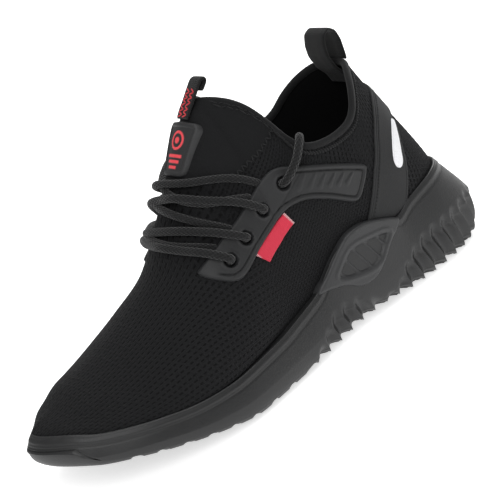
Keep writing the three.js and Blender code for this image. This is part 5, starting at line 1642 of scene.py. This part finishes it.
def stabilizer(side, node):
    """Leaf on the sole's waist: a broad rounded border, a sunk window and slanted fins in it, each a
    sharp crest between two hollows."""
    leaf = side_ring(STABILIZER, LIP_HEIGHT)
    window = side_ring(WINDOW, LIP_HEIGHT)
    points, outward, _ = OUTLINES[side]
    straight = slice(60, -60)

    def place(flat):
        x, z = flat[:, 0], flat[:, 1]
        spot_y, out_x, out_y = [
            np.interp(x, points[straight, 0], column[straight])
            for column in (points[:, 1], outward[:, 0], outward[:, 1])]
        inset = sole_inset(x, z)
        step = 0.5
        slope = (sole_inset(x, z + step) - sole_inset(x, z - step)) / (2 * step)
        base = np.stack([x - out_x * inset, spot_y - out_y * inset, z], 1)
        return base, unit(np.stack([out_x, out_y, slope], 1))

    foot = (np.array([0.302, 0.46]) - (0.5, 0)) * (SOLE_LENGTH, LIP_HEIGHT)
    pitch = 0.0273 * SOLE_LENGTH

    def relief(flat, base, distance):
        to_window, _ = nearest(flat, window[::2])
        sunk = np.where(inside(window, flat[:, 0], flat[:, 1]), to_window, -to_window)
        height = 0.25 + (STABILIZER_RAISE - 0.1) * np.sqrt(1 - (1 - np.clip(distance / 1.6, 0, 1)) ** 2)
        height += 0.35 * bump(sunk, -1.6, 3.4)
        way = (flat[:, 0] - foot[0] - 0.54 * (flat[:, 1] - foot[1])) / pitch
        hollow = np.abs(np.sin(np.pi * way)) ** 0.8
        fins = -1.9 * hollow * smoothstep(sunk, 0.2, 2.2)
        depth = smoothstep(sunk, -0.2, 0.9)
        # The second value darkens the sunk window's hollows between the fins as painted shade.
        return height - 0.5 * depth + fins, 0.75 * depth * hollow * smoothstep(sunk, 0.3, 2.0)

    plate = rubber_material("Stabilizer plate", tone(settings().plate_color, 1.4), 0.42, 0.45)
    piece = plate_on(f"{node}_leaf", [leaf], 0.45, place, relief, -4.0, plate)
    return settle(piece, "trim", node)


# The laces

def eyelet_place(side, number):
    """Share along and up the upper of an eyelet."""
    x, z = (EYELETS[number] - (0.5, 0)) * (SOLE_LENGTH, TONGUE_HEIGHT)
    at, up = locate(side, np.array([x]), np.array([z]))
    return float(at[0]), float(up[0])


def throat_place(side, number):
    """Share along and up the upper of the place where the lace dips under the guard."""
    x, z = (THROATS[number] - (0.5, 0)) * (SOLE_LENGTH, TONGUE_HEIGHT)
    at, up = locate(side, np.array([x]), np.array([z]))
    return float(at[0]), float(up[0])


UNDER_HEIGHT = 3.6 * CLEARANCE + LACE_DIAMETER / 2
OVER_HEIGHT = 3 * CLEARANCE + GUARD_THICKNESS + LACE_DIAMETER / 2


def lace_run(start, ridge, end):
    """Centre line of one run: from a place on the outer side over the ridge to one on the inner side, its
    share along the shoe a parabola through the ridge's share. Places are ('eye' or 'gap', number)."""
    kinds = start[0], end[0]
    places = [
        (eyelet_place if kind == "eye" else throat_place)(side, number)
        for side, (kind, number) in ((1, start), (-1, end))]
    (at0, up0), (at1, up1) = places
    t = np.linspace(0, 1, 121)
    middle = 2 * ridge - (at0 + at1) / 2
    at = at0 * (1 - t) ** 2 + 2 * middle * t * (1 - t) + at1 * t * t
    across = (1 - up0) * (1 - t) + (up1 - 1) * t
    near = 1 - smoothstep(np.minimum(t, 1 - t), 0.13, 0.3)
    ends = np.where(t < 0.5, kinds[0] == "eye", kinds[1] == "eye")
    height = UNDER_HEIGHT - 0.6 + near * np.where(ends, OVER_HEIGHT - UNDER_HEIGHT + 0.7, -1.9)
    side = np.where(across >= 0, 1.0, -1.0)
    path = upper_point(side, at, 1 - np.abs(across), height)
    pieces = [path]
    for side, (at_end, up_end), kind, first in (
            (1.0, places[0], kinds[0], True), (-1.0, places[1], kinds[1], False)):
        centre = upper_curve(side, at_end, up_end)
        normal = upper_normal(side, at_end, up_end)
        if kind == "eye":
            tail = centre + normal * np.array([3.6, 2.2, 0.8, -0.5, -1.6])[:, None]
        else:
            inward = unit(path[0] - path[6]) if first else unit(path[-1] - path[-7])
            tail = (path[0] if first else path[-1]) + inward * np.array([2.0, 4.0, 6.0])[:, None]
            tail = tail - normal * np.array([0.6, 1.2, 1.8])[:, None]
        gap = np.linalg.norm(path - centre, axis=1)
        keep = gap > 1.9 if kind == "eye" else gap > -1
        pieces = [p[keep] if p is path else p for p in pieces]
        path = pieces[[i for i, p in enumerate(pieces) if len(p) > 20][0]]
        pieces = [tail[::-1], path] if first else pieces[:-1] + [path, tail]
    return smooth_path(np.concatenate(pieces), 1.5, 0.55)


def lift_crossing(over, under):
    """Where two runs cross, one rises and the other settles, each by a bell of the way from there."""
    gap = np.linalg.norm(over[:, None, :] - under[None], axis=2)
    i, j = np.unravel_index(gap.argmin(), gap.shape)
    need = LACE_DIAMETER * 0.93 - gap[i, j]
    if need <= 0:
        return over, under
    raised, lowered = over.copy(), under.copy()
    normal = upper_normal(1.0, 0.57, 1.0)
    for line, at, amount in ((raised, i, 0.8 * need), (lowered, j, -0.2 * need)):
        way = np.abs(np.arange(len(line)) - at) * 0.55
        line += normal * (amount * np.exp(-0.5 * (way / 6.5) ** 2))[:, None]
    return raised, lowered


def laces():
    """Seven runs between the eyelets in two groups, as the solids have them."""
    lower = [
        lace_run(("eye", 0), 0.607, ("eye", 0)), lace_run(("eye", 1), 0.591, ("gap", 0)),
        lace_run(("gap", 0), 0.600, ("eye", 1))]
    upper = [
        lace_run(("eye", 2), 0.563, ("gap", 1)), lace_run(("gap", 1), 0.572, ("eye", 2)),
        lace_run(("gap", 3), 0.552, ("gap", 2)), lace_run(("gap", 2), 0.558, ("eye", 3))]
    for runs in (lower, upper):
        for first in range(len(runs)):
            for second in range(first + 1, len(runs)):
                runs[first], runs[second] = lift_crossing(runs[first], runs[second])
    braid = lace_material()
    radius = settings().lace_diameter * 500
    for group, node in ((lower, "laces_lower"), (upper, "laces_upper")):
        tubes = [make_tube(f"{node}_{k}", smooth_path(run, 1.0, 0.55), radius, braid, sides=18, flat=0.92)
                 for k, run in enumerate(group, 1)]
        for tube in tubes:
            settle(tube, "lace", node)


def lace_end():
    """Free end of the lace: out of the top eyelet, up over the collar and down inside, tipped with its
    aglet. It is a cord of its real length, and its points are the solid's own."""
    at, up = eyelet_place(1, 3)
    path = [
        upper_point(1.0, at, up, -1.0), upper_point(1.0, at, up, 1.6),
        upper_point(1.0, at - 0.003, up + 0.012, 4.2),
        upper_point(1.0, at - 0.012, up + 0.05, OVER_HEIGHT + 0.9),
        (-25.5, 38.6, 102.5), (-29.5, 38.4, 107.5), (-33.2, 36.4, 110.6), (-36.6, 31.8, 109.6),
        (-38.6, 28.2, 104.5), (-40.2, 26.8, 97.5), (-41.6, 26.4, 90.0), (-43.2, 26.6, 82.5)]
    way = np.concatenate([[0], np.cumsum(np.linalg.norm(np.diff(np.array(path), axis=0), axis=1))])
    even = np.linspace(0, way[-1], 160)
    dense = np.stack([follow(way, np.array(path)[:, k], even) for k in range(3)], 1)
    line = smooth_path(dense, 1.4, 0.55)
    radius = settings().lace_diameter * 500
    cord = make_tube("lace_end_cord", line, radius, lace_material(), sides=18)
    settle(cord, "lace", "lace_end_lateral")
    tip = line[-1] + unit(line[-1] - line[-4]) * np.linspace(-9, 0.6, 14)[:, None]
    sleeve = np.full(14, radius + 0.12)
    sleeve[[0, 1]] = radius - 0.1, radius + 0.06
    sheath = rubber_material("Aglet sleeve", (0.02, 0.02, 0.021), 0.25, 0.5)
    aglet = make_tube("lace_aglet", tip, sleeve, sheath)
    settle(aglet, "lace")
    points = (lower_forefoot(line) + FRAME_SHIFT) * METRES
    return cord


# The studio

CAMERA_PLACE = (0.33086, 0.56040, 0.32203)
CAMERA_AZIMUTH = 30.96278
CAMERA_ELEVATION = 22.10236
CAMERA_ROLL = -20.21907
CAMERA_LENS = 96.543
FLOOR_REACH = 4000.0


def camera():
    """Camera of the photograph: it looks along its azimuth and elevation and is rolled about its view."""
    az, el, roll = [math.radians(v) for v in (CAMERA_AZIMUTH, CAMERA_ELEVATION, CAMERA_ROLL)]
    back = Vector((math.cos(el) * math.sin(az), math.cos(el) * math.cos(az), math.sin(el)))
    right = (-back).cross(Vector((0, 0, 1))).normalized()
    up = right.cross(-back)
    across = math.cos(roll) * right + math.sin(roll) * up
    over = -math.sin(roll) * right + math.cos(roll) * up
    data = bpy.data.cameras.new("Photo camera")
    data.lens = CAMERA_LENS
    data.sensor_width = 36
    data.clip_start, data.clip_end = 0.01, 50
    view = bpy.data.objects.new("Photo camera", data)
    turned = Matrix((across, over, back)).transposed().to_4x4()
    view.matrix_world = Matrix.Translation(CAMERA_PLACE) @ turned
    bpy.context.scene.collection.objects.link(view)
    bpy.context.scene.camera = view


def add_lamp(name, place, target, size, power, tint=(1, 1, 1)):
    """Rectangular lamp that points at a target."""
    data = bpy.data.lights.new(name, "AREA")
    data.shape = "RECTANGLE"
    data.size, data.size_y = size
    data.energy = power
    data.color = tint
    lamp = bpy.data.objects.new(name, data)
    lamp.location = place
    lamp.rotation_euler = (Vector(target) - Vector(place)).to_track_quat("-Z", "Y").to_euler()
    bpy.context.scene.collection.objects.link(lamp)


def studio():
    """Pale floor, white surroundings and three soft lamps."""
    corners = np.array([(-1, -1), (1, -1), (1, 1), (-1, 1)]) * FLOOR_REACH
    places = [(x * METRES, y * METRES, -0.02 * METRES) for x, y in corners]
    mesh = bpy.data.meshes.new("studio_floor")
    mesh.from_pydata(places, [], [(0, 1, 2, 3)])
    mesh.materials.append(floor_material())
    floor = bpy.data.objects.new("studio_floor", mesh)
    bpy.context.scene.collection.objects.link(floor)
    world = bpy.data.worlds.new("Studio")
    world.use_nodes = True
    ground = world.node_tree.nodes["Background"]
    ground.inputs["Color"].default_value = (1, 1, 1, 1)
    rays = world.node_tree.nodes.new("ShaderNodeLightPath")
    strength = world.node_tree.nodes.new("ShaderNodeMath")
    strength.operation = "MAXIMUM"
    strength.inputs[1].default_value = settings().world_strength
    world.node_tree.links.new(rays.outputs["Is Camera Ray"], strength.inputs[0])
    world.node_tree.links.new(strength.outputs[0], ground.inputs["Strength"])
    bpy.context.scene.world = world
    bpy.context.scene.view_settings.view_transform = "Standard"
    power = settings().lamp_power
    add_lamp("Key lamp", (0.9, 1.1, 1.3), (0, 0, 0.05), (1.0, 1.0), power)
    add_lamp("Top lamp", (-0.3, 0.1, 1.6), (0, 0, 0.05), (1.4, 1.0), power * 0.8)
    add_lamp("Back lamp", (-1.2, -0.9, 0.9), (0, 0, 0.08), (0.8, 1.0), power * 0.7)


class ShoeSettings(bpy.types.PropertyGroup):
    """Sizes, colours and light that the panel offers."""

    lace_diameter: FloatProperty(
        name="Lace diameter", description="Thickness of the round lace", default=0.0044, min=0.003, max=0.006,
        unit="LENGTH")
    knit_color: FloatVectorProperty(
        name="Knit", description="Colour of the upper's yarn", subtype="COLOR", size=3, min=0, max=1,
        default=(0.0062, 0.0063, 0.0067))
    rubber_color: FloatVectorProperty(
        name="Rubber", description="Colour of the sole", subtype="COLOR", size=3, min=0, max=1,
        default=(0.0105, 0.0107, 0.0111))
    plate_color: FloatVectorProperty(
        name="Plates", description="Colour of the moulded guards", subtype="COLOR", size=3, min=0, max=1,
        default=(0.0150, 0.0153, 0.0160))
    lace_color: FloatVectorProperty(
        name="Laces", description="Colour of the laces", subtype="COLOR", size=3, min=0, max=1,
        default=(0.0075, 0.0076, 0.0080))
    webbing_color: FloatVectorProperty(
        name="Webbing", description="Colour of the pull loops", subtype="COLOR", size=3, min=0, max=1,
        default=(0.0038, 0.0039, 0.0041))
    accent_color: FloatVectorProperty(
        name="Accents", description="Colour of the red marks and thread", subtype="COLOR", size=3, min=0,
        max=1,
        default=(0.75, 0.06, 0.075))
    tag_color: FloatVectorProperty(
        name="Tag", description="Colour of the woven tag", subtype="COLOR", size=3, min=0, max=1,
        default=(0.62, 0.028, 0.06))
    reflector_color: FloatVectorProperty(
        name="Reflector", description="Colour of the reflective film", subtype="COLOR", size=3, min=0, max=1,
        default=(0.78, 0.78, 0.80))
    lamp_power: FloatProperty(
        name="Lamp power", description="Power of the key lamp", default=14.0, min=0, unit="POWER")
    world_strength: FloatProperty(
        name="Surroundings", description="Light from the white surroundings", default=0.42, min=0)


def operator(key, label, words, *makers):
    """One operator that runs some makers and reports what it made."""
    def execute(self, context):
        for make in makers:
            make()
        return {"FINISHED"}

    names = {"bl_idname": f"work_shoe.{key}", "bl_label": label, "__doc__": words, "execute": execute}
    return type(f"WORK_SHOE_OT_{key}", (bpy.types.Operator,), names)


OPERATORS = [
    operator("camera", "Camera", "Adds the photograph's camera", camera),
    operator("lace_end", "Free lace end", "Adds the free end of the lace with its aglet", lace_end),
    operator("laces", "Laces", "Adds the runs of the lace between the eyelets", laces),
    operator("upper", "Knit upper", "Adds the knitted upper", knit_upper),
    operator("collar", "Collar binding", "Adds the rolled binding of the collar", collar_binding),
    operator("insole", "Insole", "Adds the footbed", insole),
    operator("midsole", "Cup sole", "Adds the scooped cup of the sole", midsole),
    operator("outsole", "Tread", "Adds the tread with its lugs", outsole),
    operator("stabilizers", "Stabilizers", "Adds the leaves on the sole's waist",
             lambda: stabilizer(1, "stabilizer_lateral"), lambda: stabilizer(-1, "stabilizer_medial")),
    operator("eyestays", "Eyestays", "Adds the guards with the eyelets",
             lambda: eyestay(1, "eyestay_lateral"), lambda: eyestay(-1, "eyestay_medial")),
    operator("heel_band", "Heel band", "Adds the smooth band over the heel", heel_band),
    operator("reflectors", "Reflectors", "Adds the reflective drops on the heel band",
             lambda: reflector(1, "heel_reflector_lateral"), lambda: reflector(-1, "heel_reflector_medial")),
    operator("side_tag", "Side tag", "Adds the woven tag under the wing", side_tag),
    operator("patch", "Tongue badge", "Adds the moulded badge on the tongue", tongue_patch),
    operator("heel_loop", "Heel loop", "Adds the pull loop at the heel", heel_pull_loop),
    operator("tongue_tab", "Tongue tab", "Adds the pull tab with its red zigzag", tongue_pull_tab),
    operator("stitches", "Stitching", "Adds the sewn rows and the piping", stitches),
    operator("studio", "Studio", "Adds the floor, the lamps and the surroundings", studio),
]


class WORK_SHOE_PT_panel(bpy.types.Panel):
    """Sidebar panel with the settings and a button for each piece."""

    bl_label = "Work shoe"
    bl_idname = "WORK_SHOE_PT_panel"
    bl_space_type = "VIEW_3D"
    bl_region_type = "UI"
    bl_category = "Work shoe"

    def draw(self, context):
        for key in ShoeSettings.__annotations__:
            self.layout.prop(context.scene.work_shoe, key)
        for kind in OPERATORS:
            self.layout.operator(kind.bl_idname)


def register():
    """Adds the classes and the settings to Blender."""
    for kind in (ShoeSettings, *OPERATORS, WORK_SHOE_PT_panel):
        bpy.utils.register_class(kind)
    bpy.types.Scene.work_shoe = PointerProperty(type=ShoeSettings)


def unregister():
    """Takes the settings and the classes out of Blender."""
    del bpy.types.Scene.work_shoe
    for kind in (WORK_SHOE_PT_panel, *reversed(OPERATORS), ShoeSettings):
        bpy.utils.unregister_class(kind)


def plain(box):
    """A box as plain lists of numbers."""
    return [[float(v) for v in corner] for corner in box]


def main():
    """Makes every piece and writes the sizes."""
    register()
    for kind in OPERATORS:
        getattr(bpy.ops.work_shoe, kind.bl_idname.split(".")[1])()


if __name__ == "__main__":
    main()
